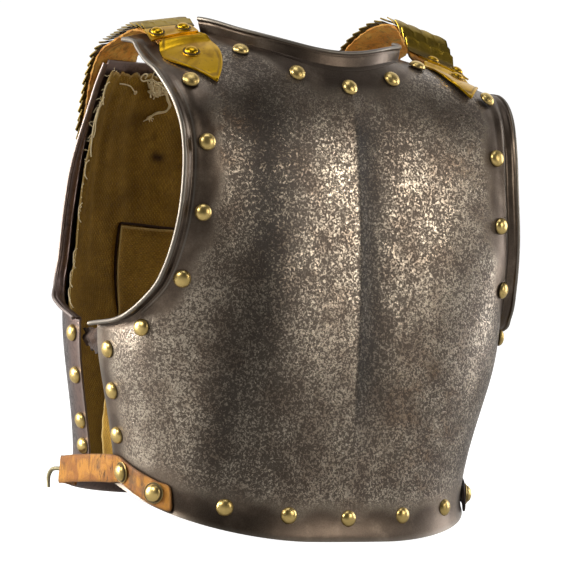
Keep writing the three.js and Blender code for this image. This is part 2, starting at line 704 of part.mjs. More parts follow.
function shoulderStud(side, word) {
  const { q, s } = findOnPlate(breast, side * stud.x, stud.y, "y");
  const point = aboveShoulder(side * stud.x, stud.y, gap + 0.7 + brassWall + gap + 0.4);
  return meshOf(`shoulder_stud_${word}`, headGeometry(point, plateNormal(breast, q, s), 6, 4.2), brass);
}

// ---- waist straps ----
// The two rails' points at share t of a waist strap's length on the breastplate.
function waistStrapOnPlate(side, t) {
  const w = waistStrap;
  const height = breastWall / 2 + gap + leatherWall / 2 + 0.8;
  const angle = side * mix(w.startAngle, w.cornerAngle, t);
  const level = mix(w.startHeight, w.cornerHeight, t ** 1.3);
  return [-0.5, 0.5].map((k) => {
    const { q, s } = findOnPlate(breast, 0, level + k * waistStrapWidth, "z", angle);
    return platePoint(breast, q, s).addScaledVector(plateNormal(breast, q, s), height);
  });
}

// Lower and upper rail of a waist strap, for side -1 or 1: on the breastplate, straight back, and
// for the one with the hook round a fold and forward again on the inner side.
function waistRails(side, folded) {
  const w = waistStrap;
  const rails = steps(5).map((t) => waistStrapOnPlate(side, t));
  const upright = (x, y, z) =>
    rails.push([-0.5, 0.5].map((k) => new THREE.Vector3(side * x, y, z + k * waistStrapWidth)));
  const corner = rails.at(-1)[0].clone().lerp(rails.at(-1)[1], 0.5);
  const low = corner.z - w.sag;
  steps(6).slice(1).forEach((t) => {
    const x = mix(Math.abs(corner.x), w.foldX, 1 - (1 - t) ** 1.6);
    upright(x, mix(corner.y, w.foldY, t), corner.z - w.sag * t ** 1.4);
  });
  if (!folded) return rails;
  steps(6).slice(1).forEach((t) => {
    const angle = t * Math.PI;
    const x = w.foldX - w.foldRadius * (1 - Math.cos(angle));
    upright(x, w.foldY + w.foldRadius * Math.sin(angle), low - t);
  });
  upright(w.foldX - 2 * w.foldRadius + 0.5, w.returnY, low);
  return rails;
}

// Middle of the fold's hollow, where the hook's pin stands.
function foldCentre() {
  const { foldX, foldY, foldRadius, cornerHeight, sag } = waistStrap;
  return new THREE.Vector3(-(foldX - foldRadius), foldY + 0.4, cornerHeight - sag);
}

function waistStraps() {
  const right = toSolid(wallAlong(waistRails(-1, true), -leatherWall / 2, leatherWall / 2));
  const notch = new THREE.BoxGeometry(14, 12, 7);
  const middle = foldCentre();
  notch.translate(middle.x, middle.y + waistStrap.foldRadius + 1.8, middle.z);
  const slotted = toGeometry(right.subtract(toSolid(notch)));
  const left = wallAlong(waistRails(1, false), -leatherWall / 2, leatherWall / 2);
  return [
    meshOf("waist_strap_right", slotted, tanLeather),
    meshOf("waist_strap_left", left, darkLeather),
  ];
}

// Wire hook, by its route from the pin: away from the body, backward and up.
const hookRoute = [
  { out: 0, back: 0, up: 0 },
  { out: 0.5, back: 11, up: -0.5 },
  { out: 1.5, back: 21, up: -3 },
  { out: 2, back: 25, up: -9 },
  { out: 2, back: 23.5, up: -19 },
];

// A pin held upright in the strap's fold, an arm through the slot that bends down.
function waistHook() {
  const middle = foldCentre();
  const arm = new THREE.CatmullRomCurve3(
    hookRoute.map(({ out, back, up }) => new THREE.Vector3(middle.x - out, middle.y + back, middle.z + up)),
  );
  const round = new THREE.Shape().absarc(0, 0, wireRadius, 0, Math.PI * 2);
  const armWire = new THREE.ExtrudeGeometry(round, { steps: 12, curveSegments: 4, extrudePath: arm });
  const pin = new THREE.CylinderGeometry(wireRadius, wireRadius, waistStrapWidth - 6, 8);
  pin.rotateX(Math.PI / 2);
  pin.translate(middle.x, middle.y, middle.z);
  return meshOf("waist_hook", union([armWire, pin]), bronze);
}

function waistRivetHeads(side, word) {
  return waistRivets.map((share, i) => {
    const [low, high] = waistStrapOnPlate(side, share);
    const ahead = waistStrapOnPlate(side, share + 0.02)[0];
    const along = ahead.sub(waistStrapOnPlate(side, share - 0.02)[0]);
    const normal = high.clone().sub(low).cross(along).normalize().multiplyScalar(-side);
    const point = low.lerp(high, 0.5).addScaledVector(normal, leatherWall / 2 + gap + 0.9);
    const head = headGeometry(point, normal, rivetRadius, rivetHeight, 9.2);
    return meshOf(`waist_rivet_${word}_${i + 4}`, head, brass);
  });
}

// Scrap of old leather edging at the top of the right side's gap.
function leatherScrap() {
  const grid = steps(4).map((t) =>
    steps(4).map((k) => {
      const y = mix(-13, 11, k);
      const ripple = 1.2 * Math.sin(k * 5 + t * 3);
      return new THREE.Vector3(-(179 + ripple - 3 * k), y, mix(141 + 6 * k * k, 163 - 4 * k, t));
    }),
  );
  return meshOf("leather_scrap", wallAlong(grid, -1, 1), darkLeather);
}

const sides = [[-1, "right"], [1, "left"]];
const cuirass = new THREE.Group();
cuirass.add(breastplate(), backplate(), breastLining(), backLining(), ...rivets());
sides.forEach(([side, word]) => {
  cuirass.add(shoulderLeather(side, word), shoulderScales(side, word), shoulderTongue(side, word));
  cuirass.add(shoulderCross(side, word), shoulderStud(side, word), ...waistRivetHeads(side, word));
});
cuirass.add(...waistStraps(), waistHook(), leatherScrap());

export default cuirass;
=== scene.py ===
import math

import bpy
import numpy as np
from mathutils import Matrix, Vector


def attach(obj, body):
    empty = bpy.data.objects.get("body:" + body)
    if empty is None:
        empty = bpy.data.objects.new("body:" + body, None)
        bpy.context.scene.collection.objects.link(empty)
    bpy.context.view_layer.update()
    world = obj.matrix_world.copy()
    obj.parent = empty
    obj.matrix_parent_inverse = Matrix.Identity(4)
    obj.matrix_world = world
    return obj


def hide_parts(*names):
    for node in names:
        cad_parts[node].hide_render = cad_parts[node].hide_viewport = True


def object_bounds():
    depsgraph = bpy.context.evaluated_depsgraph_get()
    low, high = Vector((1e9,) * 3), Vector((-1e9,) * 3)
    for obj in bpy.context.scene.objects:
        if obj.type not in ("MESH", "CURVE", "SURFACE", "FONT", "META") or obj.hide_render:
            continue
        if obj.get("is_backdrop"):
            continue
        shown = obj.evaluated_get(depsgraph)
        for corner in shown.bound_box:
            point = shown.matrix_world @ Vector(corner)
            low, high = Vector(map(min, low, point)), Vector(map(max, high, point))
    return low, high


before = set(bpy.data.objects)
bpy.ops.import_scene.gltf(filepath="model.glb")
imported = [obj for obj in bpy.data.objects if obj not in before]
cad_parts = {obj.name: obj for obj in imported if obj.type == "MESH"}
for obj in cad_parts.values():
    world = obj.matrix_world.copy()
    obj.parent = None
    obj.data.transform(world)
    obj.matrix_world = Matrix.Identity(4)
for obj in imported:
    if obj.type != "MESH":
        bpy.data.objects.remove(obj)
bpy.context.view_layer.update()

print("cuirass: frame loaded")

# Lengths are millimetres until a mesh is made. Front -Y, wearer's right -X, floor z = 0.

breastForm = {
    "facing": -1, "armRow": 6, "neckHeight": 397, "neckHalf": 98, "standHalf": 40,
    # depth, height, side, half, reach, square, edge, crease, bend
    "rows": np.array([
        (143, 0, 22, 165, 165, 2.5, 33, 0, 1.6), (138, 7, 22, 163, 163, 2.5, 39, 0, 1.6),
        (136, 19, 22, 164, 164, 2.5, 50, 0.4, 1.8), (136.5, 62, 22, 171, 171, 2.5, 82, 1.2, 1.8),
        (137, 105, 22, 179, 179, 2.7, 114, 2.2, 1.8), (136.5, 138, 22, 186, 186, 2.9, 142, 3, 1.8),
        (134.5, 166, 22, 189, 189, 3, 165, 3, 1.8), (133.2, 180, 22, 189, 186.5, 3.1, 173, 3, 1.8),
        (131.8, 196, 22, 188, 179.5, 3.3, 187, 3, 1.8), (129, 219, 22, 186, 169.5, 3.8, 211, 3, 1.8),
        (122.5, 262, 22, 182, 161.5, 5.4, 255, 3, 1.8), (114, 304, 22, 178, 157, 7, 300, 3, 1.8),
        (104.5, 340, 22, 175, 157, 8, 338, 3, 1.8), (94, 364, 22, 172, 160.5, 7, 364, 2.6, 1.8),
        (81, 386, -10, 185, 164, 4, 382, 1.6, 1.8), (63, 403, -30, 210, 165, 2.4, 388, 0.6, 2.8),
        (33, 411, -30, 240, 165, 2.2, 394, 0, 2.8), (8, 415, 8, 240, 165, 2.2, 399, 0, 2.8),
        (-15, 416, -15, 240, 165, 2.2, 400, 0, 2.8),
    ], float),
}
backForm = {
    "facing": 1, "armRow": 6, "neckHeight": 374, "neckHalf": 82, "standHalf": 40,
    "rows": np.array([
        (143, 0, 22, 166, 166, 2.3, 32, 0, 1.6), (136, 8, 22, 163, 163, 2.3, 38, 0, 1.6),
        (132, 20, 22, 164, 164, 2.3, 48, 0, 1.8), (127, 62, 22, 170, 170, 2.3, 80, 0, 1.8),
        (126, 105, 22, 177, 177, 2.4, 113, 0, 1.8), (128, 138, 22, 182, 182, 2.5, 141, 0, 1.8),
        (130, 166, 22, 184, 184, 2.6, 165, 0, 1.8), (132, 181, 22, 183, 179, 2.7, 174, 0, 1.8),
        (134, 197, 22, 181, 169, 2.9, 188, 0, 1.8), (136.5, 222, 22, 178, 160.5, 3, 214, 0, 1.8),
        (138, 262, 22, 176, 157, 3, 256, 0, 1.8), (137, 305, 22, 172.5, 151.5, 3, 302, 0, 1.8),
        (131, 340, 22, 170, 147, 3, 338, 0, 1.8), (123, 364, 22, 168, 143, 3, 364, 0, 1.8),
        (112, 386, 22, 165, 138, 3, 388, 0, 1.8),
    ], float),
}
shoulderLean = 0.05


# Smooth step: 0 at a and 1 at b, either of which may be the larger.
def smooth(a, b, t):
    k = np.clip((np.asarray(t, float) - a) / (b - a), 0, 1)
    return k * k * (3 - 2 * k)


# Straight mix: a where t is 0 and b where t is 1.
def mix(a, b, t):
    return a + (b - a) * t


def unit(v):
    return v / np.maximum(np.linalg.norm(v, axis=-1, keepdims=True), 1e-12)


# The lean of the shoulders: z falls with x, only high up and near the strap's arch.
def leaned(p):
    high = smooth(340, 400, p[..., 2])
    along = smooth(-80, -10, p[..., 1]) * (1 - smooth(15, 60, p[..., 1]))
    out = p.copy()
    out[..., 2] -= shoulderLean * p[..., 0] * high * along
    return out


# Every row's point at each lateral angle q: x goes with the sine of q, depth is a superellipse
# from the middle line to the side line less the ridge, and z climbs from the middle to the edge.
def rowPoints(form, q):
    depth, height, side, half, reach, square, edge, crease, bend = (c[:, None] for c in form["rows"].T)
    x = reach * np.sin(np.abs(q) * math.pi / 2)
    section = (1 - np.minimum(1, x / half) ** square) ** (1 / square)
    ridge = crease * (1 - (1 - np.minimum(1, x / 45)) ** 2)
    flat = np.where(height < 15, 0.65 * form["standHalf"] / reach, 0)
    share = np.arcsin(np.minimum(1, x / half)) / np.arcsin(reach / half)
    climb = np.clip((share - flat) / (1 - flat), 0, 1) ** bend
    y = form["facing"] * (side + (depth - side) * section - ridge)
    return np.stack([np.sign(q) * x, y, mix(height, edge, climb)], -1)


for form in (breastForm, backForm):
    gaps = np.hypot(*np.diff(form["rows"][:, :2], axis=0).T)
    form["knots"] = np.concatenate([[0], np.cumsum(gaps) / gaps.sum()])


# Point of a plate's middle surface: a cubic through the rows' points at level s, whose slope
# breaks at the armpit row.
def platePoint(form, q, s):
    q, s = np.broadcast_arrays(np.asarray(q, float), np.asarray(s, float))
    shape, q, s = q.shape, q.ravel(), s.ravel()
    knots, arm = form["knots"], form["armRow"]
    points = rowPoints(form, q)
    n = np.arange(len(q))
    k = np.clip(np.searchsorted(knots, s) - 1, 0, len(knots) - 2)
    span = knots[k + 1] - knots[k]
    t = ((s - knots[k]) / span)[:, None]
    lowest = np.where(k >= arm, arm, 0)
    highest = np.where(k < arm, arm, len(knots) - 1)

    def slope(i):
        low, high = np.maximum(i - 1, lowest), np.minimum(i + 1, highest)
        return (points[high, n] - points[low, n]) * (span / (knots[high] - knots[low]))[:, None]

    p = points[k, n] * (2 * t**3 - 3 * t**2 + 1) + slope(k) * (t**3 - 2 * t**2 + t)
    p += points[k + 1, n] * (3 * t**2 - 2 * t**3) + slope(k + 1) * (t**3 - t**2)
    return leaned(p).reshape(shape + (3,))


# Outward normal of a plate, across both short steps along its two parameters.
def plateNormal(form, q, s):
    e = 1e-3
    across = platePoint(form, q + e, s) - platePoint(form, q - e, s)
    along = platePoint(form, q, np.minimum(s + e, 1)) - platePoint(form, q, np.maximum(s - e, 0))
    return unit(np.cross(across, along)) * -form["facing"]


# Lateral angle and level where the surface has the given y or z, found by halving the level.
def findOnPlate(form, x, target, axis, fixedAngle=None):
    x, target = np.broadcast_arrays(np.asarray(x, float), np.asarray(target, float))

    def angle(s):
        if fixedAngle is not None:
            return np.broadcast_to(fixedAngle, s.shape)
        reach = platePoint(form, 0.9999, s)[..., 0]
        return np.arcsin(np.minimum(0.99999, np.abs(x) / reach)) * 2 * np.sign(x) / math.pi

    rising = 1 if axis == 2 else -form["facing"]
    low, high = np.zeros(x.shape), np.ones(x.shape)
    for _ in range(34):
        s = (low + high) / 2
        below = rising * (platePoint(form, angle(s), s)[..., axis] - target) < 0
        low, high = np.where(below, s, low), np.where(below, high, s)
    return angle(s), s


# Upper border as u runs from -1 to 1: the U of the neck, then straight to the shoulder's end.
def upperBorder(form, u):
    neckShare, side = 0.62, np.abs(u)
    topReach = form["rows"][-1, 4]
    lowest = findOnPlate(form, 0, form["neckHeight"], 2)[1]
    angle = np.minimum(side / neckShare, 1) * math.pi / 2
    x = np.where(side < neckShare, form["neckHalf"] * np.sin(angle),
                 mix(form["neckHalf"], topReach, (side - neckShare) / (1 - neckShare)))
    s = np.where(side < neckShare, 1 - (1 - lowest) * np.cos(angle), 1)
    return np.sign(u) * np.arcsin(np.minimum(1, x / topReach)) * 2 / math.pi, s


# From net places, u across and v upward, to plate places that meet the upper border.
def plateParameters(form, u, v):
    topQ, topS = upperBorder(form, u)
    return mix(u, topQ, v**2.5), v * topS


# Even samples along a smooth line through the points (centripetal Catmull-Rom).
def sampleLine(points, count):
    p = np.asarray(points, float)
    p = np.concatenate([[2 * p[0] - p[1]], p, [2 * p[-1] - p[-2]]])
    a, b, c, d = p[:-3, None], p[1:-2, None], p[2:-1, None], p[3:, None]
    ab, bc, cd = (np.maximum(np.linalg.norm(y - x, axis=-1, keepdims=True), 1e-6) ** 0.5
                  for x, y in ((a, b), (b, c), (c, d)))
    t = np.linspace(0, 1, 48, endpoint=False)[None, :, None]
    slopeB = (c - b) + bc * ((b - a) / ab - (c - a) / (ab + bc))
    slopeC = (c - b) + bc * ((d - c) / cd - (d - b) / (bc + cd))
    line = b * (2 * t**3 - 3 * t**2 + 1) + slopeB * (t**3 - 2 * t**2 + t)
    line = line + c * (3 * t**2 - 2 * t**3) + slopeC * (t**3 - t**2)
    line = np.concatenate([line.reshape(-1, 3), p[-2:-1]])
    along = np.concatenate([[0], np.cumsum(np.linalg.norm(np.diff(line, axis=0), axis=1))])
    at = np.linspace(0, along[-1], count)
    return np.stack([np.interp(at, along, line[:, i]) for i in range(3)], 1)


def tangentsOf(line):
    return unit(np.gradient(line, axis=0))


# Normals of a grid of points, from the steps along its rows and columns.
def gridNormals(grid):
    return unit(np.cross(np.gradient(grid, axis=1), np.gradient(grid, axis=0)))


# Normals of a grid, turned so that the one in its middle points towards the given side in y.
def facedNormals(grid, facing):
    n = gridNormals(grid)
    return n * (np.sign(n[len(n) // 2, n.shape[1] // 2, 1]) * facing)


# Even net over a rectangle of parameters, each given as (start, end, count).
def evenNet(first, second):
    return np.meshgrid(np.linspace(*first), np.linspace(*second), indexing="ij")


# A shell is a closed surface: points, lists of faces, and one value per point for each name.
def shellOf(points, faces, **values):
    points = np.asarray(points, float)
    first = np.concatenate([f[:, :3] for f in faces])
    second = np.concatenate([f[:, [0, 2, 3]] for f in faces if f.shape[1] == 4] or [first[:0]])
    tri = points[np.concatenate([first, second])]
    if np.einsum("ij,ij->", tri[:, 0], np.cross(tri[:, 1], tri[:, 2])) < 0:
        faces = [f[:, ::-1] for f in faces]
    return {"points": points, "faces": faces, "values": values}


# The four-cornered faces of a grid of point numbers.
def quadsOf(index):
    return np.stack([index[:-1, :-1], index[:-1, 1:], index[1:, 1:], index[1:, :-1]], -1).reshape(-1, 4)


# Closed wall between two grids of the same size. Values given per grid place serve both sides.
def wallShell(front, rear, **values):
    rows, cols = front.shape[:2]
    i = np.arange(rows * cols).reshape(rows, cols)
    ring = np.concatenate([i[0, :-1], i[:-1, -1], i[-1, :0:-1], i[:0:-1, 0]])
    after, n = np.roll(ring, -1), rows * cols
    rim = np.stack([after, ring, ring + n, after + n], 1)
    both = {k: np.tile(np.broadcast_to(v, (rows, cols)).ravel(), 2) for k, v in values.items()}
    points = np.concatenate([front.reshape(-1, 3), rear.reshape(-1, 3)])
    return shellOf(points, [quadsOf(i), quadsOf(i + n)[:, ::-1], rim], **both)


# Round solid: a profile of (radius, height) turned about the normal through a point.
def turnedShell(profile, point, normal, segments=28, **values):
    radius, height = np.asarray(profile, float).T
    side = unit(np.cross(normal, [0.3, 0.2, 1.0] if abs(normal[2]) < 0.8 else [1.0, 0.1, 0]))
    other = np.cross(normal, side)
    a = np.arange(segments) * 2 * math.pi / segments
    ring = np.cos(a)[:, None] * side + np.sin(a)[:, None] * other
    body = point + radius[1:-1, None, None] * ring + height[1:-1, None, None] * normal
    ends = point + height[[0, -1], None] * normal
    points = np.concatenate([ends[:1], body.reshape(-1, 3), ends[1:]])
    i = 1 + np.arange(len(radius) - 2)[:, None] * segments + np.arange(segments + 1) % segments
    last = len(points) - 1
    start = np.stack([np.zeros(segments, int), i[0, 1:], i[0, :-1]], 1)
    end = np.stack([np.full(segments, last), i[-1, :-1], i[-1, 1:]], 1)
    spread = {k: np.concatenate([[v[0]], np.repeat(v[1:-1], segments), [v[-1]]]) for k, v in values.items()}
    return shellOf(points, [quadsOf(i), start, end], **spread)


# Round tube along a line, closed by flat ends; radius may change along it.
def tubeShell(line, radius, sides, **values):
    t = tangentsOf(line)
    across = unit(np.cross(t, [0.13, 0.21, 1.0]))       # a direction that no line follows
    up = np.cross(across, t)
    a = np.arange(sides) * 2 * math.pi / sides
    r = np.broadcast_to(np.asarray(radius, float), (len(line),))[:, None, None]
    ring = np.cos(a)[None, :, None] * across[:, None] + np.sin(a)[None, :, None] * up[:, None]
    points = (line[:, None] + r * ring).reshape(-1, 3)
    i = np.arange(len(line))[:, None] * sides + np.arange(sides + 1) % sides
    caps = [i[0, :-1][None, ::-1], i[-1, :-1][None]]
    spread = {k: np.repeat(np.broadcast_to(v, (len(line),)), sides) for k, v in values.items()}
    shell = shellOf(points, [quadsOf(i)], **spread)
    flipped = not np.array_equal(shell["faces"][0][0], quadsOf(i)[0])
    shell["faces"] += [c[:, ::-1] if flipped else c for c in caps]
    return shell


# One mesh object from shells, in metres, riding on the only body.
def addPiece(name, shells, material, nodes=(), uv=None):
    points, faces, start = [], [], 0
    for s in shells:
        points.append(s["points"])
        faces += [row for f in s["faces"] for row in (f + start).tolist()]
        start += len(s["points"])
    mesh = bpy.data.meshes.new(name)
    mesh.from_pydata((np.concatenate(points) * 0.001).tolist(), [], faces)
    for key in sorted({k for s in shells for k in s["values"]}):
        spread = [np.broadcast_to(s["values"].get(key, 0.0), (len(s["points"]),)) for s in shells]
        values = np.concatenate(spread).astype(np.float32)
        mesh.attributes.new(key, "FLOAT", "POINT").data.foreach_set("value", values)
    if uv:
        layer = mesh.uv_layers.new(name="surface")
        index = np.empty(len(mesh.loops), np.int32)
        mesh.loops.foreach_get("vertex_index", index)
        pair = [np.concatenate([s["values"][k] for s in shells])[index] for k in uv]
        layer.data.foreach_set("uv", np.stack(pair, 1).astype(np.float32).ravel())
    mesh.polygons.foreach_set("use_smooth", np.ones(len(mesh.polygons), bool))
    mesh.set_sharp_from_angle(angle=math.radians(38))
    mesh.materials.append(material)
    mesh.validate()
    mesh.update()
    piece = bpy.data.objects.new(name, mesh)
    bpy.context.scene.collection.objects.link(piece)
    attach(piece, "root")
    if nodes:
        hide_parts(*nodes)
    return piece


# A value that changes over the surface: its sums, differences and products are Math nodes.
class Value:
    def __init__(self, socket):
        self.socket, self.tree = socket, socket.id_data

    def __add__(self, other):
        return calc("ADD", self, other)

    def __sub__(self, other):
        return calc("SUBTRACT", self, other)

    def __rsub__(self, other):
        return calc("SUBTRACT", other, self)

    def __mul__(self, other):
        return calc("MULTIPLY", self, other)

    __radd__, __rmul__ = __add__, __mul__


# Node inputs by name or number: a Value is linked, anything else is set.
def fill(node, inputs):
    for key, value in inputs.items():
        if isinstance(value, Value):
            value.tree.links.new(value.socket, node.inputs[key])
        else:
            node.inputs[key].default_value = value


def addNode(tree, kind, inputs, **settings):
    node = tree.nodes.new(kind)
    for key, value in settings.items():
        setattr(node, key, value)
    fill(node, inputs)
    return node


# The same as addNode, but gives one output back as a Value.
def put(tree, kind, inputs, output=0, **settings):
    return Value(addNode(tree, kind, inputs, **settings).outputs[output])


# The node tree of the first Value in a list.
def treeOf(values):
    return next(v.tree for v in values if isinstance(v, Value))


def calc(operation, *values, clamp=False):
    return put(treeOf(values), "ShaderNodeMath", dict(enumerate(values)), operation=operation,
               use_clamp=clamp)


# Smooth step of a Value: 0 up to low and 1 from high on.
def stepUp(value, low, high):
    inputs = {"Value": value, "From Min": low, "From Max": high}
    return put(value.tree, "ShaderNodeMapRange", inputs, "Result",
               interpolation_type="SMOOTHSTEP", clamp=True)


# Mix of two colors.
def tint(factor, a, b, how="MIX"):
    inputs = {0: factor, 6: a, 7: b}
    return put(treeOf(inputs.values()), "ShaderNodeMix", inputs, 2, data_type="RGBA", blend_type=how)


def noise(vector, scale, detail=2.0, roughness=0.5, distortion=0.0):
    inputs = {"Vector": vector, "Scale": scale, "Detail": detail, "Roughness": roughness,
              "Distortion": distortion}
    return put(vector.tree, "ShaderNodeTexNoise", inputs)


# The point values that the meshes carry, by name.
def attributes(tree, *names):
    return [put(tree, "ShaderNodeAttribute", {}, "Fac", attribute_name=name) for name in names]


def mapped(vector, **inputs):
    return put(vector.tree, "ShaderNodeMapping", {"Vector": vector, **inputs})


def bumped(height, distance):
    return put(height.tree, "ShaderNodeBump", {"Height": height, "Distance": distance})


def startMaterial(name):
    material = bpy.data.materials.new(name)
    material.use_nodes = True
    tree = material.node_tree
    return material, tree.nodes["Principled BSDF"], put(tree, "ShaderNodeTexCoord", {}, "Object")


# A group with a Vector and number inputs: gives its inputs as Values, and its output node.
def startGroup(name, numbers, outputs):
    tree = bpy.data.node_groups.new(name, "ShaderNodeTree")
    tree.interface.new_socket(name="Vector", in_out="INPUT", socket_type="NodeSocketVector")
    for label in numbers:
        tree.interface.new_socket(name=label, in_out="INPUT", socket_type="NodeSocketFloat")
    for label in outputs:
        tree.interface.new_socket(name=label, in_out="OUTPUT", socket_type="NodeSocketFloat")
    given = tree.nodes.new("NodeGroupInput").outputs
    return [Value(given[label]) for label in ("Vector", *numbers)], tree.nodes.new("NodeGroupOutput")


# One use of a node group, giving its outputs by name.
def useGroup(group, **inputs):
    node = addNode(inputs["Vector"].tree, "ShaderNodeGroup", inputs, node_tree=group)
    return {socket.name: Value(socket) for socket in node.outputs}


# Worm-like pits: two distorted noises added and cut at a level that Coverage and soft patches move.
def makePitGroup():
    (place, scale, coverage), result = startGroup("worm pits", ("Scale", "Coverage"), ("Mask", "Depth"))
    fine = noise(place, scale, 1.6, 0.5, 0.9)
    coarse = noise(place, scale * 0.37, 2.0, 0.55, 0.5)
    patches = noise(place, scale * 0.085, 3.0, 0.55, 0.3)
    level = 1.0 - coverage + (patches - 0.5) * -0.35
    above = fine * 0.82 + coarse * 0.18 - (level * 0.5 + 0.25)
    fill(result, {"Mask": stepUp(above, -0.075, 0.085), "Depth": stepUp(above, -0.08, 0.1)})
    return result.id_data


# Old handling: faint scratches in two directions and a soft cloud of dirt.
def makeWearGroup():
    (place, scale), result = startGroup("hand wear", ("Scale",), ("Scratches", "Dirt"))
    lines = []
    for turn, stretch in ((0.4, (1, 9, 1)), (-0.9, (8, 1, 1.5))):
        turned = mapped(place, Rotation=(0, turn, turn), Scale=stretch)
        lines.append(stepUp(noise(turned, scale, 4.0, 0.7), 0.6, 0.72))
    dirt = stepUp(noise(place, scale * 0.4, 5.0, 0.65, 0.4), 0.42, 0.7)
    fill(result, {"Scratches": calc("MAXIMUM", *lines), "Dirt": dirt})
    return result.id_data


# Plain weave on surface coordinates in metres: two crossing waves, swapped in a checker.
def makeWeaveGroup():
    (place, threads), result = startGroup("plain weave", ("Threads",), ("Height", "Slubs"))
    sway = (noise(place, 55.0, 2.0, 0.5) - 0.5) * 0.0011
    split = addNode(place.tree, "ShaderNodeSeparateXYZ", {0: place}).outputs
    waves = [(Value(split[axis]) + sway) * (threads * math.pi) for axis in (0, 1)]
    over = calc("SINE", waves[0]) * calc("SINE", waves[1])
    highest = calc("MAXIMUM", *(calc("ABSOLUTE", calc("COSINE", wave)) for wave in waves))
    slubs = noise(mapped(place, Scale=(14, 1, 1)), 160.0, 3.0, 0.6)
    fill(result, {"Height": over * 0.35 + 0.5 - highest * 0.4, "Slubs": slubs})
    return result.id_data


pitGroup, wearGroup, weaveGroup = makePitGroup(), makeWearGroup(), makeWeaveGroup()

# rim: the colour of a painted highlight on edges and beads, partly worn metal.
steelLooks = {
    "front": {"bare": (0.68, 0.585, 0.46, 1), "shade": (0.36, 0.285, 0.215, 1),
              "pit": (0.072, 0.052, 0.038, 1), "margin": (0.07, 0.045, 0.032, 1),
              "rust": (0.26, 0.135, 0.058, 1), "rim": (0.24, 0.215, 0.18, 1),
              "coverage": 0.56, "scale": 500.0, "pitDepth": 0.00008},
    "back": {"bare": (0.20, 0.165, 0.15, 1), "shade": (0.14, 0.105, 0.095, 1),
             "pit": (0.03, 0.024, 0.022, 1), "margin": (0.22, 0.15, 0.125, 1),
             "rust": (0.20, 0.11, 0.06, 1), "rim": (0.30, 0.25, 0.225, 1),
             "coverage": 0.42, "scale": 220.0, "pitDepth": 0.00006},
}


# Steel: bare metal with worm pits, a smoother brown margin near edges, rust tints, broad painted shade with
# some patina, and bright rims that are painted highlight, partly worn metal.
def makeSteel(name, look):
    material, surface, place = startMaterial(name)
    margin, rim, tone, rust = attributes(place.tree, "margin", "rim", "tone", "rust")
    pits = useGroup(pitGroup, Vector=place, Scale=look["scale"], Coverage=look["coverage"] + tone * -0.12)
    wear = useGroup(wearGroup, Vector=place, Scale=90.0)
    pitted = pits["Mask"] * (1.0 - margin)

    clouds = noise(place, 34.0, 4.0, 0.6)
    color = tint(stepUp(clouds, 0.35, 0.68), look["bare"], look["shade"])
    color = tint(stepUp(noise(place, 48.0, 4.0, 0.65, 0.6), 0.45, 0.7) * rust, color, look["rust"])
    color = tint(stepUp(noise(place, 1150.0, 2.0, 0.6), 0.42, 0.62) * 0.45, color, look["pit"])
    color = tint(pitted * 0.88, color, look["pit"])
    brown = tint(stepUp(clouds, 0.42, 0.72) * 0.55, look["margin"], look["shade"])
    color = tint(margin * 0.9, color, tint(pits["Mask"] * 0.35, brown, look["pit"]))
    # Painted shade, with some patina: the colour is multiplied by one plus these clouds, never above one.
    color = tint(1.0, color, calc("ADD", 1.0, tone, clamp=True), "MULTIPLY")
    color = tint(wear["Scratches"] * 0.08, color, look["rim"])
    # Painted highlight along edges and beads, partly worn metal.
    color = tint(rim * 0.85, color, look["rim"])

    dents = noise(place, 700.0, 2.0, 0.6) * 0.12
    fill(surface, {
        "Base Color": color, "Metallic": pitted * -0.35 + 0.92,
        "Roughness": pitted * 0.13 + 0.27 + margin * 0.09 + rim * 0.06 + wear["Dirt"] * 0.06,
        "Normal": bumped(dents - pits["Depth"] * (1.0 - margin * 0.85), look["pitDepth"]),
    })
    return material


brassLooks = {
    "rivet": {"bright": (0.72, 0.53, 0.20, 1), "dull": (0.42, 0.30, 0.10, 1),
              "dark": (0.10, 0.07, 0.03, 1), "rough": 0.33},
    "scale": {"bright": (0.34, 0.225, 0.022, 1), "dull": (0.17, 0.11, 0.012, 1),
              "dark": (0.03, 0.02, 0.01, 1), "rough": 0.3},
    "plate": {"bright": (0.60, 0.345, 0.012, 1), "dull": (0.36, 0.19, 0.008, 1),
              "dark": (0.08, 0.05, 0.015, 1), "rough": 0.3},
    "wire": {"bright": (0.36, 0.31, 0.18, 1), "dull": (0.20, 0.17, 0.09, 1),
             "dark": (0.06, 0.05, 0.03, 1), "rough": 0.42},
}


# Brass: polish and painted highlight on the high places and edges, dull olive patches, and dirt and painted
# shade where crevice is 1.
def makeBrass(name, look):
    material, surface, place = startMaterial(name)
    crevice, rim = attributes(place.tree, "crevice", "rim")
    wear = useGroup(wearGroup, Vector=place, Scale=150.0)
    spots = stepUp(noise(place, 420.0, 3.0, 0.6, 0.3), 0.64, 0.72)
    # Dirt spots, and painted shade with some dirt where crevice is 1.
    dirt = calc("MAXIMUM", spots * 0.6, crevice * 0.95)
    dull = stepUp(noise(place, 60.0, 4.0, 0.6, 0.5), 0.4, 0.72)
    color = tint(dirt, tint(dull, look["bright"], look["dull"]), look["dark"])
    grain = wear["Scratches"] * -0.6 + noise(place, 900.0, 2.0, 0.6)
    fill(surface, {
        "Base Color": tint(rim * 0.7, color, look["bright"]), "Metallic": dirt * -0.5 + 1.0,
        "Roughness": look["rough"] + dirt * 0.25 + wear["Dirt"] * 0.08, "Normal": bumped(grain, 0.00004),
    })
    return material


leatherLooks = {
    "strap": {"face": (0.30, 0.105, 0.009, 1), "light": (0.50, 0.21, 0.018, 1),
              "dark": (0.05, 0.024, 0.01, 1), "rough": 0.5},
    "shoulder": {"face": (0.74, 0.30, 0.03, 1), "light": (0.80, 0.44, 0.08, 1),
                 "dark": (0.05, 0.022, 0.01, 1), "rough": 0.7},
    "old": {"face": (0.045, 0.028, 0.02, 1), "light": (0.09, 0.05, 0.03, 1),
            "dark": (0.012, 0.009, 0.008, 1), "rough": 0.6},
}


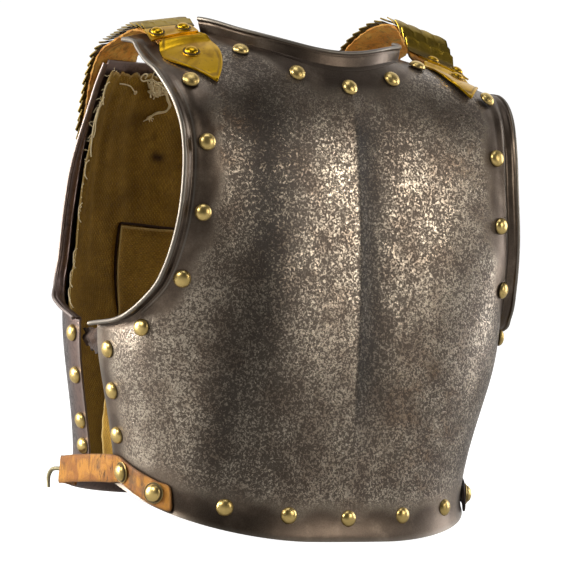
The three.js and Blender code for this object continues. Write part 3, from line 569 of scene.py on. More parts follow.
# Leather: cloudy tan with soiled places, cell grain, cracks where worn is 1, dark edges.
def makeLeather(name, look):
    material, surface, place = startMaterial(name)
    worn, crevice = attributes(place.tree, "worn", "crevice")
    soiled = stepUp(noise(place, 38.0, 5.0, 0.68, 0.8), 0.5, 0.68)
    cells = put(place.tree, "ShaderNodeTexVoronoi", {"Vector": place, "Scale": 1100.0},
                feature="DISTANCE_TO_EDGE")
    cracks = stepUp(noise(mapped(place, Scale=(1, 1, 0.22)), 330.0, 4.0, 0.65, 0.8), 0.54, 0.6) * worn
    dark = calc("MAXIMUM", cracks * 0.85, crevice * 0.8)
    color = tint(stepUp(noise(place, 70.0, 4.0, 0.6, 0.6), 0.38, 0.66), look["face"], look["light"])
    color = tint(soiled * 0.72, color, look["dark"])
    fill(surface, {
        "Base Color": tint(dark, color, look["dark"]), "Roughness": look["rough"] + dark * 0.2,
        "Normal": bumped(stepUp(cells, 0.0, 0.12) - cracks * 1.4, 0.00012), "Specular IOR Level": 0.4,
    })
    return material


canvasLook = {
    "threads": 560.0, "light": (0.43, 0.255, 0.035, 1), "dark": (0.24, 0.135, 0.016, 1),
    "slub": (0.5, 0.42, 0.26, 1), "thread": (0.62, 0.45, 0.18, 1), "stain": (0.03, 0.014, 0.005, 1),
}


# Canvas: woven khaki with slubs, soft dirt clouds, painted shade in the low places of the weave, stains, the
# painted shadow strip of the patch's gaps, and pale fraying edges.
def makeCanvas(name, look):
    material, surface, place = startMaterial(name)
    fray, stain = attributes(place.tree, "fray", "stain")
    onCloth = put(place.tree, "ShaderNodeUVMap", {}, uv_map="surface")
    weave = useGroup(weaveGroup, Vector=onCloth, Threads=look["threads"])
    specks = stepUp(noise(place, 260.0, 3.0, 0.6), 0.66, 0.74)
    color = tint(stepUp(noise(place, 22.0, 4.0, 0.6, 0.3), 0.3, 0.72), look["light"], look["dark"])
    color = tint(stepUp(weave["Slubs"], 0.42, 0.62), color, look["slub"], "MULTIPLY")
    # Painted shade in the low places of the weave.
    color = tint(stepUp(weave["Height"], 0.42, 0.1) * 0.26, color, look["stain"])
    color = tint(stepUp(weave["Slubs"], 0.56, 0.7) * 0.3, color, look["thread"])
    # Stains and specks, and the painted shadow strip along the patch's gaps.
    color = tint(calc("MAXIMUM", specks * 0.45, stain), color, look["stain"])
    fill(surface, {
        "Base Color": tint(fray * 0.8, color, look["thread"]), "Roughness": 0.95, "Specular IOR Level": 0.2,
        "Normal": bumped(weave["Height"] + weave["Slubs"] * 0.6, 0.0005),
    })
    return material


def makeThread(name, color):
    material, surface, place = startMaterial(name)
    shaded = tuple(0.62 * c for c in color[:3]) + (1,)
    fill(surface, {
        "Base Color": tint(noise(place, 900.0, 2.0, 0.6), color, shaded), "Roughness": 0.9,
        "Normal": bumped(noise(place, 2600.0, 1.0, 0.5), 0.0002),
    })
    return material


steelFront = makeSteel("pitted steel", steelLooks["front"])
steelBack = makeSteel("brown steel", steelLooks["back"])
rivetBrass = makeBrass("rivet brass", brassLooks["rivet"])
plateBrass = makeBrass("old gold brass", brassLooks["plate"])
scaleBrass = makeBrass("tarnished scale brass", brassLooks["scale"])
hookWire = makeBrass("bronze wire", brassLooks["wire"])
strapLeather = makeLeather("waist leather", leatherLooks["strap"])
shoulderLeather = makeLeather("shoulder leather", leatherLooks["shoulder"])
oldLeather = makeLeather("old dark leather", leatherLooks["old"])
canvasCloth = makeCanvas("khaki canvas", canvasLook)
looseThread = makeThread("linen thread", (0.97, 0.82, 0.5, 1))
print("cuirass: materials made")


# The two plates. A border turns out by size, and by end past the share of its line between from
# and to; outX and outY say where to. A collar has its share of the upper border, height and flare.
plateLook = {
    "columns": 181, "lowerLevels": 66, "upperLevels": 112, "breastWall": 2.6, "backWall": 1.8,
    "breastBorder": {"outX": 0.92, "outY": 0.39, "size": 12.5, "end": 7, "from": 0.75, "to": 1.0,
                     "bead": 1.9},
    "backBorder": {"outX": 0.96, "outY": 0.25, "size": 10, "end": 4.5, "from": 0.6, "to": 0.9,
                   "bead": 1.5},
    "breastCollar": {"share": 0.565, "height": 15.5, "flare": 0.3, "tilt": 0.13},
    "backCollar": {"share": 0.6, "height": 6, "flare": 0.3, "tilt": 0.1},
}
# Soft clouds of painted shade, with some patina, then of rust: x, z, spread in x, spread in z, and strength.
shadeClouds = np.array([
    (-92, 235, 34, 150, -0.66), (-124, 105, 26, 85, -0.42), (-152, 110, 18, 90, 0.4),
    (-86, 300, 34, 50, -0.2), (-30, 110, 60, 50, -0.12), (-70, 352, 80, 26, -0.3),
    (90, 352, 60, 24, -0.3), (125, 90, 40, 60, -0.1), (-60, 60, 60, 40, -0.2),
], float)
rustClouds = np.array([
    (80, 110, 46, 60, 0.7), (110, 330, 40, 34, 0.5), (-125, 345, 30, 34, 0.8),
    (-40, 50, 60, 26, 0.35), (-142, 120, 20, 60, 0.3),
], float)


# Sum of round bumps exp(-(dx/a)^2-(dz/b)^2) over the surface.
def cloudSum(points, clouds):
    x, z = points[..., 0, None], points[..., 2, None]
    cx, cz, a, b, k = clouds.T
    return (k * np.exp(-(((x - cx) / a) ** 2) - ((z - cz) / b) ** 2)).sum(-1)


# The sheet's middle grid, eased along its levels so that no row shows in the shine.
def plateGrid(form):
    arm = form["knots"][form["armRow"]]
    v = np.concatenate([np.linspace(0, arm, plateLook["lowerLevels"]),
                        np.linspace(arm, 1, plateLook["upperLevels"])[1:]])
    v, u = np.meshgrid(v, np.linspace(-1, 1, plateLook["columns"]), indexing="ij")
    q, s = plateParameters(form, u, v)
    p = platePoint(form, q, s)
    ease = smooth(0, 0.04, v) * smooth(0, 0.03, 1 - v)
    ease = ease * (1 - smooth(0.86, 0.97, np.abs(u)) * smooth(0.5 * arm, arm, v) * (1 - smooth(0.75, 0.9, v)))
    for _ in range(60):
        p[1:-1] += 0.24 * ease[1:-1, :, None] * (p[2:] - 2 * p[1:-1] + p[:-2])
    return u, v, p


# How far each grid point is from the left, right, lower and upper edge, along the grid.
def borderDistances(p):
    across = np.linalg.norm(np.diff(p, axis=1), axis=2)
    along = np.linalg.norm(np.diff(p, axis=0), axis=2)
    left = np.pad(np.cumsum(across, 1), ((0, 0), (1, 0)))
    bottom = np.pad(np.cumsum(along, 0), ((1, 0), (0, 0)))
    return left, left[:, -1:] - left, bottom, bottom[-1:] - bottom


# Painted shade beside the ridge: dark at once on its left, fading outwards, and a painted highlight line on
# its right.
def ridgeShadeAndHighlight(p):
    x, high = p[..., 0], smooth(60, 150, p[..., 2]) * (1 - smooth(335, 375, p[..., 2]))
    dark, pale = -0.62 * np.exp(-((x / 38) ** 2)), 0.1 * np.exp(-((x / 8) ** 2))
    return high * np.where(x > -0.6, dark, pale)


# Hammered hollows and swells of the breastplate: x, z, spread in x, spread in z, and height.
swells = np.array([
    (-76, 255, 26, 120, 1.5), (98, 250, 20, 100, 0.4), (-130, 90, 20, 60, 0.4), (-20, 120, 30, 30, -0.25),
    (60, 90, 26, 34, 0.3), (-60, 150, 24, 22, -0.2), (110, 150, 22, 30, -0.25),
], float)


# Height of the breastplate's skin over its smooth form. The right half is hollow beside the
# ridge, by a parabola that ends 46 mm away; the left half falls off from it and comes back.
def breastSwell(p):
    x, high = p[..., 0], smooth(30, 130, p[..., 2]) * (1 - smooth(320, 372, p[..., 2]))
    left = np.maximum(x, 0)
    ridge = -2.2 * np.where(x < 0, np.maximum(0, 1 + x / 46) ** 2, 1 - smooth(8, 100, x))
    return cloudSum(p, swells) + high * (ridge - 0.08 * left * np.exp(-((left / 28) ** 2)))


def sheetNormals(p, form):
    n = facedNormals(p, form["facing"])
    n[0, :, 2] = 0      # the lower edge is cut square
    return unit(n)


# The wall of a plate. The breastplate also swells a little, but not at its edges.
def sheetShell(form, wall):
    u, v, p = plateGrid(form)
    if form is breastForm:
        near = smooth(0, 12, np.minimum.reduce(borderDistances(p)))
        p = p + sheetNormals(p, form) * (breastSwell(p) * near)[..., None]
    n = sheetNormals(p, form)
    left, right, bottom, top = borderDistances(p)
    sides = np.minimum(left, right)
    wobble = 5 * np.sin(p[..., 0] * 0.11 + 1.3 * np.sin(p[..., 2] * 0.07)) * np.sin(p[..., 2] * 0.09)
    margin = np.maximum(1 - smooth(12, 30, sides + wobble), 1 - smooth(18, 40, bottom + wobble))
    margin = np.maximum(margin, 1 - smooth(16, 36, top + wobble))
    # Painted highlight, partly worn metal, in a thin line along the cut edges.
    rim = 0.8 * np.maximum(1 - smooth(0.8, 3, bottom), 1 - smooth(0.5, 2, np.minimum(sides, top)))
    # Painted shade, with some patina: the clouds and the band beside the ridge darken the colour.
    tone = cloudSum(p, shadeClouds) + ridgeShadeAndHighlight(p) if form is breastForm else 0.0
    return wallShell(p + n * wall / 2, p - n * wall / 2, margin=margin, rim=rim, tone=tone,
                     rust=np.clip(cloudSum(p, rustClouds), 0, 1))


# Turned-out border: a strip that leaves the sheet along away, bends to out, and ends in a rolled
# bead. Its half thickness is the wall's, a groove, then a circle of the bead's radius.
def turnedStrip(line, away, out, size, wall, bead):
    size = np.broadcast_to(size, (len(line),))[:, None]
    w = np.concatenate([np.linspace(0, 0.3, 8, endpoint=False), np.linspace(0.3, 0.75, 12, endpoint=False),
                        0.75 + 0.25 * np.sin(np.linspace(0, 1, 16) * math.pi / 2)])     # closer at the bead
    d = -4 + w[None] * (size + 3.95)
    turn = smooth(-0.8, 2.8, d)[..., None]
    direction = unit(mix(away[:, None], out[:, None], turn))
    step = np.diff(d, axis=1)[..., None] * (direction[:, 1:] + direction[:, :-1]) / 2
    p = (line - 4 * away)[:, None] + np.concatenate([np.zeros_like(step[:, :1]), np.cumsum(step, 1)], 1)
    side = unit(np.cross(direction, tangentsOf(line)[:, None]))
    fromTip = size - d
    round_ = np.sqrt(np.maximum(bead**2 - (bead - np.minimum(fromTip, 2 * bead)) ** 2, 0.04))
    half = mix(wall / 2 - 0.12, wall / 2, smooth(-3, 0, d))
    half = half - (0.45 * smooth(2 * bead + 2, 2 * bead + 0.8, fromTip)
                   * smooth(2 * bead - 0.6, 2 * bead, fromTip))
    half = np.where(fromTip < bead, round_, np.maximum(half, round_ * (fromTip < 2 * bead)))
    # A painted highlight, partly worn metal, on the bead; the groove before it loses it and takes a little
    # rust.
    rim = np.maximum(1 - smooth(1.2 * bead, 1.7 * bead, fromTip), 0)
    dirty = smooth(2 * bead + 3, 2 * bead + 0.5, fromTip) * smooth(bead, 2 * bead, fromTip)
    return wallShell(p + side * half[..., None], p - side * half[..., None], margin=1.0,
                     rim=np.clip(rim - dirty, 0, 1), tone=-0.1, rust=0.15 * dirty)


# The border of an arm opening, from the side seam up to the shoulder.
def armBorderShell(form, side, wall, border):
    arm = form["knots"][form["armRow"]]
    s = mix(arm, 1, np.linspace(0, 1, 260) ** 1.5)
    dense = platePoint(form, side * 0.9999, s)
    line = sampleLine(dense[::4], 150)
    near = np.argmin(np.linalg.norm(dense[:, None] - line[None], axis=2), 0)
    normal = plateNormal(form, side * 0.97, s)[near]
    tangent = tangentsOf(line)
    away = unit(np.cross(tangent, normal)) * -side * form["facing"]
    out = np.array([side * border["outX"], form["facing"] * border["outY"], 0.0])
    out = unit(out - (tangent @ out)[:, None] * tangent)
    size = mix(border["size"], border["end"],
               smooth(border["from"], border["to"], np.linspace(0, 1, len(line))))
    return turnedStrip(line + away * 0.14 * size[:, None], away, out, size * 0.96, wall, border["bead"])


# The collar that rises from the middle of the upper border.
def collarShell(form, wall, collar, bead):
    u = np.linspace(-collar["share"], collar["share"], 170)
    q, s = upperBorder(form, u)
    base = platePoint(form, q, s)
    away = unit(base - platePoint(form, q, s - 0.006))
    rise = np.ones((len(u), 3))
    rise[:, 0], rise[:, 1] = collar["flare"] * base[:, 0] / form["neckHalf"], -form["facing"] * collar["tilt"]
    return turnedStrip(base, away, unit(rise), collar["height"], wall, bead)


for word, form, material in (("breast", breastForm, steelFront), ("back", backForm, steelBack)):
    wall, border, collar = (plateLook[word + key] for key in ("Wall", "Border", "Collar"))
    shells = [sheetShell(form, wall), *(armBorderShell(form, side, wall, border) for side in (-1, 1)),
              collarShell(form, wall, collar, border["bead"])]
    addPiece(f"{word}_sheet", shells, material, [f"{word}plate"])
print("cuirass: plates made")


# Rivets. A spot is given by x and z, by x and y on the shoulder, or by an angle and z at the side.
rivetLook = {
    "radius": 7.4, "height": 5.0, "sink": 0.4, "washer": 9.2, "backRadius": 7.2, "backHeight": 4.6,
    "smallRadius": 5.6, "smallHeight": 4.0, "smallWasher": 7.4,
    "studRadius": 6.0, "studHeight": 4.2, "studWasher": 8.0,
}
breastRivets = {
    "neck": [{"x": 0, "z": 381}, {"x": 48, "z": 390}, {"x": 90, "y": -51}],
    "shoulder": [{"x": 150, "z": 378}],
    "arm": [{"x": 146, "z": 329}, {"x": 150, "z": 271}, {"x": 161, "z": 215}, {"x": 180, "z": 171}],
    "side": [{"angle": 0.965, "z": 148}, {"angle": 0.963, "z": 113}, {"angle": 0.963, "z": 75}],
    "waist": [{"x": 0, "z": 19}, {"x": 57, "z": 21}, {"x": 110, "z": 25.5}],
}
backSideRivets = [{"angle": 0.965, "z": z} for z in (154, 118, 79, 57)]
backOtherRivets = [
    {"x": 0, "z": 362}, {"x": 60, "z": 364}, {"x": 142, "z": 268}, {"x": 149, "z": 222},
    {"x": 168, "z": 184}, {"x": 0, "z": 22}, {"x": 60, "z": 24}, {"x": 115, "z": 31},
]
random = np.random.default_rng(12)


# Domed head: an ellipse quarter over a short skirt, each a little different in size and tilt. With
# a washer, the skirt is a flat ring with a groove inside it.
def headShell(point, normal, radius, height, washer=0.0, segments=28):
    radius = radius * random.uniform(0.975, 1.02)
    normal = unit(np.asarray(normal) + random.normal(0, 0.025, 3))
    sink, a = rivetLook["sink"], np.linspace(0, math.pi / 2, 9)
    dome = np.stack([radius * np.cos(a) ** 0.92, 0.35 + (height - 0.35) * np.sin(a)], 1)
    dome[-1, 0] = 0
    skirt = [(0, -sink), (radius - 0.5, -sink), (radius - 0.1, 0)]
    if washer:
        dome[:, 1] += 0.3
        skirt = [(0, -sink), (washer - 0.3, -sink), (washer, 0.3), (washer - 0.5, 0.8),
                 (radius + 1.1, 0.75), (radius + 0.45, 0.45)]
    profile = np.concatenate([skirt, dome])
    # Painted shade with some dirt at the foot of the dome and in the washer's groove, and a painted
    # highlight, partly polish, on its top.
    crevice = 1 - smooth(0.2, 1.5, profile[:, 1])
    if washer:
        crevice = np.where(np.abs(profile[:, 0] - radius - 0.5) < 0.7, 1.0, 0.25 * crevice)
    rim = smooth(0.6, 1, profile[:, 1] / height)
    return turnedShell(profile, np.asarray(point), normal, segments, crevice=crevice, rim=rim)


# Point and normal of a rivet: a spot gives x or an angle, and either y or z.
def spotOnPlate(form, side, spot):
    axis = 1 if "y" in spot else 2
    fixed = side * spot["angle"] if "angle" in spot else None
    q, s = findOnPlate(form, side * spot.get("x", 0), spot["y" if axis == 1 else "z"], axis, fixed)
    if spot.get("x") == 0:
        q = 0.0
    return platePoint(form, q, s), plateNormal(form, q, s)


# A rivet on the middle line stands once, any other on both sides.
def sidesOf(spot):
    return [("middle", 0)] if spot.get("x") == 0 else [("right", -1), ("left", 1)]


def addRivets(form, wall, zone, spots):
    for number, spot in enumerate(spots, 1):
        for word, side in sidesOf(spot):
            point, normal = spotOnPlate(form, side, spot)
            shell = headShell(point + normal * wall / 2, normal, rivetLook["radius"], rivetLook["height"])
            node = f"{zone}_rivet_{word}_{number}"
            addPiece(f"{node}_head", [shell], rivetBrass, [node])


for zone, spots in breastRivets.items():
    addRivets(breastForm, plateLook["breastWall"], zone, spots)
addRivets(backForm, plateLook["backWall"], "back_side", backSideRivets)
otherHeads = []
for spot in backOtherRivets:
    for _, side in sidesOf(spot):
        point, normal = spotOnPlate(backForm, side, spot)
        point = point + normal * plateLook["backWall"] / 2
        otherHeads.append(headShell(point, normal, rivetLook["backRadius"], rivetLook["backHeight"]))
addPiece("back_border_rivets", otherHeads, rivetBrass)
print("cuirass: rivets made")


# Canvas linings, and their distance from the plates' middle surface.
liningLook = {
    "offset": 5.6, "wall": 1.3, "wrinkle": 1.0, "patchWall": 0.7, "gap": 1.15, "threadScale": 1.25,
    "backTop": 378, "breastTop": 368, "bottom": 14,
    # x, z, spread and strength
    "stains": [(-62, 304, 4.5, 0.9), (-56, 303, 3.5, 0.8), (-66, 322, 3, 0.5), (-74, 318, 2.5, 0.35),
               (-90, 330, 20, 0.15)],
    # x and z along the cut edge of the patch
    "slit": [(-95, 156), (-98.5, 176), (-99.6, 210), (-97.6, 240), (-96, 243.3), (-92, 243.4),
             (-70, 242.2), (-40, 240), (-20, 239.6)],
}
clothMap = ("alongCloth", "upCloth")


# Point on the inner side of a plate: the plate's point moved in along its normal, and past the
# side edge straight on towards the other plate.
def insidePlate(form, q, s, inward, beyond=0.0):
    n = plateNormal(form, np.clip(q, -0.985, 0.985), s)
    p = platePoint(form, q, s) - n * np.asarray(inward)[..., None]
    p[..., 1] -= form["facing"] * beyond
    return p


# Wall of cloth on a grid, with the lengths along it as its map, frayed edges and round stains.
def clothShell(p, wall, facing, stains=()):
    n = facedNormals(p, facing)
    left, right, bottom, top = borderDistances(p)
    edge = np.minimum.reduce([left, right, bottom, top])
    stain = np.zeros(p.shape[:2])
    for x, z, spread, strength in stains:
        stain += strength * np.exp(-(((p[..., 0] - x) ** 2 + (p[..., 2] - z) ** 2) / spread**2))
    return wallShell(p + n * wall / 2, p - n * wall / 2, stain=stain, fray=0.8 * (1 - smooth(0.2, 2.4, edge)),
                     alongCloth=left / 1000, upCloth=bottom / 1000)


# Vertical soft folds, deeper higher up, at share a across and level s.
def foldDepth(a, s):
    deep = liningLook["wrinkle"] * smooth(0.4, 0.75, s) * (1 - 0.5 * smooth(0.9, 1, s))
    return deep * (np.sin(a * 21 + 2.2 * np.sin(s * 9)) + 0.5 * np.sin(a * 47 + 3 * np.sin(s * 7 + 1)))


# Lateral angle at which the back lining ends.
def clothLimit(s):
    return mix(0.865, 0.93, smooth(0.36, 0.47, s)) - 0.045 * smooth(0.74, 0.97, s)


# Point over the back lining at x and z, lifted from its face into the hollow.
def onBackCloth(x, z, lift):
    q, s = findOnPlate(backForm, x, z, 2)
    depth = liningLook["offset"] + foldDepth(q / clothLimit(s), s) + liningLook["wall"] / 2
    return insidePlate(backForm, q, s, depth + lift)


# The levels of the lower and upper edge of a lining, on the middle line.
def levelsOf(form, top):
    return (findOnPlate(form, 0, z, 2)[1] for z in (liningLook["bottom"], top))


low, high = levelsOf(backForm, liningLook["backTop"])
s, a = evenNet((low, high, 150), (-1, 1, 190))
ripple = 0.006 * np.sin(s * 61) + 0.005 * np.sin(s * 133 + 1) + 0.003 * np.sin(s * 290)
q = np.clip(a * (clothLimit(s) + ripple * np.abs(a) ** 6), -0.985, 0.985)
backCloth = insidePlate(backForm, q, s, liningLook["offset"] + foldDepth(a, s))
backCloth[-1, :, 2] += 1.2 * np.sin(a[-1] * 50) + 0.9 * np.sin(a[-1] * 91)     # torn top
backShell = clothShell(backCloth, liningLook["wall"], 1, liningLook["stains"])
backLining = addPiece("back_canvas", [backShell], canvasCloth, ["back_lining"], clothMap)

# Patch with two open edges, the top and the one towards the right side. The dark tube under them is a painted
# shadow of the gaps.
k, t = evenNet((0, 1, 60), (0, 1, 60))
bow = 1.6 * np.sin(t * math.pi) * (1 - k)
x, z = mix(-96.5 - bow, -12, k), mix(158, 241.5 - 2.5 * np.sin(k * 2.2), t)
openEdge = np.maximum(smooth(0.10, 0, k), smooth(0.90, 1, t)) * smooth(0, 0.12, t) * smooth(1, 0.85, k)
patch = onBackCloth(x, z, 0.35 + 1.5 * openEdge)
addPiece("canvas_patch", [clothShell(patch, liningLook["patchWall"], 1)], canvasCloth, uv=clothMap)
# Painted shadow: a dark tube in the stain colour along the slit, where the open edges leave a gap.
x, z = np.array(liningLook["slit"]).T
slitLine = sampleLine(onBackCloth(x, z, np.full(len(x), 0.5)), 120)
slitWidth = liningLook["gap"] * np.interp(np.linspace(0, 1, 120), [0, 0.2, 0.5, 1], [0.35, 0.8, 1, 1.3])
gap = tubeShell(slitLine, slitWidth, 8, stain=1.0, fray=0.0, alongCloth=0.0, upCloth=0.0)
addPiece("canvas_gap", [gap], canvasCloth, uv=clothMap)

# Fringe: single threads that leave the torn edges, some curling back on themselves.
threads = []


def addThread(points, radius, count=14):
    threads.append(tubeShell(sampleLine(points, count), radius * liningLook["threadScale"], 5))


# One thread of a frayed edge. It stands out from its base and leans and bends at random.
def fringeAt(base, out, along, size, loose):
    bend = random.normal(0, loose, 3)
    tip = base + out * size + along * size * random.normal(0, 0.6) + bend * size * 0.3
    middle = (base + tip) / 2 + along * size * random.normal(0, 0.35) + bend * size * 0.2
    addThread([base - out * 0.8, base + out * 0.2 * size, middle, tip], random.uniform(0.16, 0.3), 8)


for column, inner in ((0, 3), (-1, -4)):
    for row in random.choice(np.arange(52, 149), 80):
        base = backCloth[row, column]
        out = unit(base - backCloth[row, inner])
        along = unit(backCloth[min(row + 1, 149), column] - backCloth[row - 1, column])
        fringeAt(base + along * random.uniform(-1, 1), out, along, min(7.0, random.lognormal(0.7, 0.5)), 0.6)
for column in random.choice(np.arange(1, 189), 46):
    base = backCloth[-1, column]
    out = unit(base - backCloth[-4, column])
    fringeAt(base, out, unit(backCloth[-1, column + 1] - base), min(4.5, random.lognormal(0.4, 0.5)), 0.5)


# Thread over the back lining: x, z and its lift from the cloth.
def placeThread(route, radius, count=40):
    addThread(onBackCloth(*np.array(route, float).T), radius, count)


# Loops that leave the right edge over the bare steel: angle on the plate, z, and distance inwards.
def placeLoop(route, radius, count=40):
    q, z, inward = np.array(route, float).T
    addThread(insidePlate(backForm, q, findOnPlate(backForm, 0, z, 2, q)[1], inward), radius, count)


placeLoop([(-0.87, 352, 7), (-0.90, 348, 6), (-0.93, 341, 5), (-0.955, 330, 5), (-0.955, 318, 6),
           (-0.93, 308, 7), (-0.90, 303, 8)], 0.5)
placeLoop([(-0.87, 357, 7), (-0.91, 352, 6), (-0.93, 345, 6), (-0.93, 334, 6), (-0.915, 326, 7),
           (-0.93, 320, 7)], 0.42)
placeLoop([(-0.865, 371, 7), (-0.90, 369, 6), (-0.915, 362, 6), (-0.90, 354, 7), (-0.87, 350, 8)], 0.5)
for z in (300, 262, 222, 205, 190):
    placeLoop([(-0.905, z, 7), (-0.94, z - 3, 5), (-0.955, z - 8, 5), (-0.945, z - 14, 6),
               (-0.91, z - 17, 8)], 0.4, 24)

# Curled thread, short thread with a knot, and the tangle near the neck side of the arm opening.
placeThread([(-80, 374, 1), (-88, 375, 1.5), (-95, 374.5, 2), (-99.5, 377, 2), (-97.5, 381, 2),
             (-92.5, 380.5, 2), (-93, 376.5, 1.5)], 0.6)
placeThread([(-121.5, 369.8, 1), (-115, 370, 1.6), (-108, 368.6, 1.6), (-102.5, 364.5, 1.4),
             (-100.5, 363, 1.2)], 0.5)
placeThread([(-102, 364, 1.4), (-100.5, 364.6, 2), (-99.4, 363, 1.6), (-100.6, 361.8, 1.2),
             (-101.8, 363, 1.4)], 0.6, 20)
placeThread([(-84, 372, 2), (-86.5, 380, 3), (-86.5, 390, 4), (-87, 397, 4)], 0.45)
for _ in range(34):
    centre = np.array([-77 + random.normal(0, 5.5), 371.5, 0])
    centre[1] -= 0.55 * (centre[0] + 84) + random.normal(0, 2.6)
    turn = np.cumsum(random.uniform(0.7, 1.5, 7)) + random.uniform(0, 6)
    size = random.uniform(2.2, 5.0)
    route = centre + np.stack([size * np.cos(turn), size * np.sin(turn) * 0.8, 0 * turn], 1)
    route[:, 2] = random.uniform(0.8, 7, 7)
    placeThread(route, random.uniform(0.4, 0.75), 30)
hanging = np.array([(-67, 368, 4), (-63, 360, 3), (-58.5, 353, 2.5), (-62, 348, 2), (-69, 346, 2),
                    (-75, 342.5, 1.5), (-78.5, 339.5, 1.2)])
for _ in range(5):
    placeThread(hanging + random.normal(0, 0.7, hanging.shape) * [1, 1, 0.5], random.uniform(0.45, 0.7))
for _ in range(9):
    tip = np.array([-78.5 + random.normal(0, 2.6), 339 + random.normal(0, 2.4), 1.5])
    placeThread([(-75, 342.5, 1.5), (np.array([-77, 341, 1.6]) + tip) / 2, tip], 0.35, 10)
fringe = addPiece("canvas_threads", threads, looseThread)

# The breast lining reaches past both side edges by tail, most of all low down.
low, high = levelsOf(breastForm, liningLook["breastTop"])
armLevel = breastForm["knots"][breastForm["armRow"]]
s, a = np.meshgrid(np.linspace(low, high, 120), np.concatenate([
    np.linspace(-2, -1, 9), np.linspace(-1, 1, 120)[1:-1], np.linspace(1, 2, 9)]), indexing="ij")
limit = mix(1, 0.93, smooth(armLevel * 0.9, armLevel * 1.15, s))
tail = mix(30, 0.6, smooth(0.06, armLevel * 0.82, s)) + 0.5 * np.sin(s * 160) * (s < armLevel * 0.7)
breastCloth = insidePlate(breastForm, np.clip(a, -1, 1) * limit, s, np.full(s.shape, liningLook["offset"]),
                          np.maximum(0, np.abs(a) - 1) * tail)
breastShell = clothShell(breastCloth, liningLook["wall"], -1)
breastLining = addPiece("breast_canvas", [breastShell], canvasCloth, ["breast_lining"], clothMap)


# Flat size of a cloth before it was hung: its widest row, its longest column, and its cells' area.
def flatSize(p):
    across, along = (np.linalg.norm(np.diff(p, axis=k), axis=2).sum(k) for k in (1, 0))
    cells = np.linalg.norm(np.cross(p[1:, :-1] - p[:-1, :-1], p[:-1, 1:] - p[:-1, :-1]), axis=2).sum()
    return (across.max() / 1000, along.max() / 1000), min(cells, across.max() * along.max()) / 1e6


for lining, grid, wall, more in ((backLining, backCloth, "backplate", [fringe, "canvas_patch", "canvas_gap"]),
                                 (breastLining, breastCloth, "breastplate", [])):
    flat, area = flatSize(grid)
    print("cuirass: lining cut to", [round(v, 3) for v in flat], round(area, 4))
print("cuirass: linings made")


# Shoulder straps. Their two edges rise from the breastplate and pass these stations to the back.
strapStations = np.array([
    # inner x, y, z, outer x, y, z, lift
    (106, 16, 418.5, 158, 16, 408, 1),
    (104, 44, 420, 156, 42, 406.5, 0.72),
    (101, 70, 415.5, 153, 65, 402.5, 0.3),
    (99, 92, 405, 151, 82, 396.5, 0),
    (98, 109.5, 390, 150.5, 92.5, 387, 0),
    (97, 117.5, 372, 150, 101, 370, 0),
    (96, 125, 352, 149, 106, 352, 0),
    (95, 131.5, 330, 148, 110.5, 330, 0),
    (95, 135, 312, 146, 113.5, 312, 0),
], float)
strapLook = {
    "lift": {"right": 0, "left": 23}, "front": (-24.0, -17.0, -9.0), "inX": 110, "outX": 156,
    "clearance": 1.0, "leather": 3.0, "scales": 22, "firstScale": 0.094, "lastScale": 0.97,
    "scaleWall": 0.9, "scaleRise": 3.3, "lobes": 4, "lobe": 2.6,
}
tongueLook = {"tip": -80, "root": -19, "middle": 134, "half": 25, "shoulder": -38, "tipX": 128.5, "wall": 1.2}
barLook = {"x": (117, 160), "y": (-23.5, -8.5), "wall": 1.3, "rivets": (127.0, 152.0), "rivetY": -15.0}
studPlace = (135.0, -46.0)


# Points and normals over the breastplate's outer face at x and y.
def aboveShoulder(x, y, height):
    q, s = findOnPlate(breastForm, np.ravel(x), np.ravel(y), 1)
    n = plateNormal(breastForm, q, s)
    p = platePoint(breastForm, q, s) + n * (plateLook["breastWall"] / 2 + np.ravel(height))[:, None]
    return p.reshape(np.shape(x) + (3,)), n.reshape(np.shape(x) + (3,))


# Rails of a strap as 400 even samples each, from the front end to the back.
def strapRails(side, word):
    rails = []
    for first, frontX in ((0, strapLook["inX"]), (3, strapLook["outX"])):
        front, _ = aboveShoulder(np.full(3, side * frontX), strapLook["front"],
                                 np.full(3, strapLook["clearance"] + strapLook["leather"] / 2))
        rest = strapStations[:, first:first + 3] * [side, 1, 1]
        rest[:, 2] += strapLook["lift"][word] * strapStations[:, 6]
        rails.append(sampleLine(np.concatenate([front, leaned(rest)]), 400))
    return rails


# Point of the strap at share t of its length and place c across, from -1 (neck) to 1 (arm).
def onStrap(rails, t, c):
    t, c = np.broadcast_arrays(t, c)
    at = np.clip(t, 0, 1) * 399
    k = np.minimum(at.astype(int), 398)
    f = (at - k)[..., None]
    inner, outer = (mix(r[k], r[k + 1], f) for r in rails)
    return mix(inner, outer, (c[..., None] + 1) / 2)


# Normals of a strap, from short steps along and across it.
def strapNormals(rails, t, c, side):
    e = 2e-3
    along = onStrap(rails, np.minimum(t + e, 1), c) - onStrap(rails, np.maximum(t - e, 0), c)
    across = onStrap(rails, t, c + 0.05) - onStrap(rails, t, c - 0.05)
    return unit(np.cross(across, along)) * side


# Leather band, thinner towards its two edges, with a wavy skin and frayed sides.
def strapLeatherShell(rails, side):
    t, c = evenNet((0, 1, 150), (-0.94, 0.94, 22))
    frayed = 0.012 * np.sin(t * 150 + side) + 0.01 * np.sin(t * 331)
    grid, n = onStrap(rails, t, c * (1 + frayed)), strapNormals(rails, t, c, side)
    edge = np.abs(c) / 0.94
    half = strapLook["leather"] / 2 * (1 - 0.5 * edge**8) + 0.25 * np.sin(t * 90) * np.sin(c * 5)
    half = half[..., None]
    return wallShell(grid + n * half, grid - n * half, worn=0.35, crevice=0.6 * smooth(0.93, 1, edge))


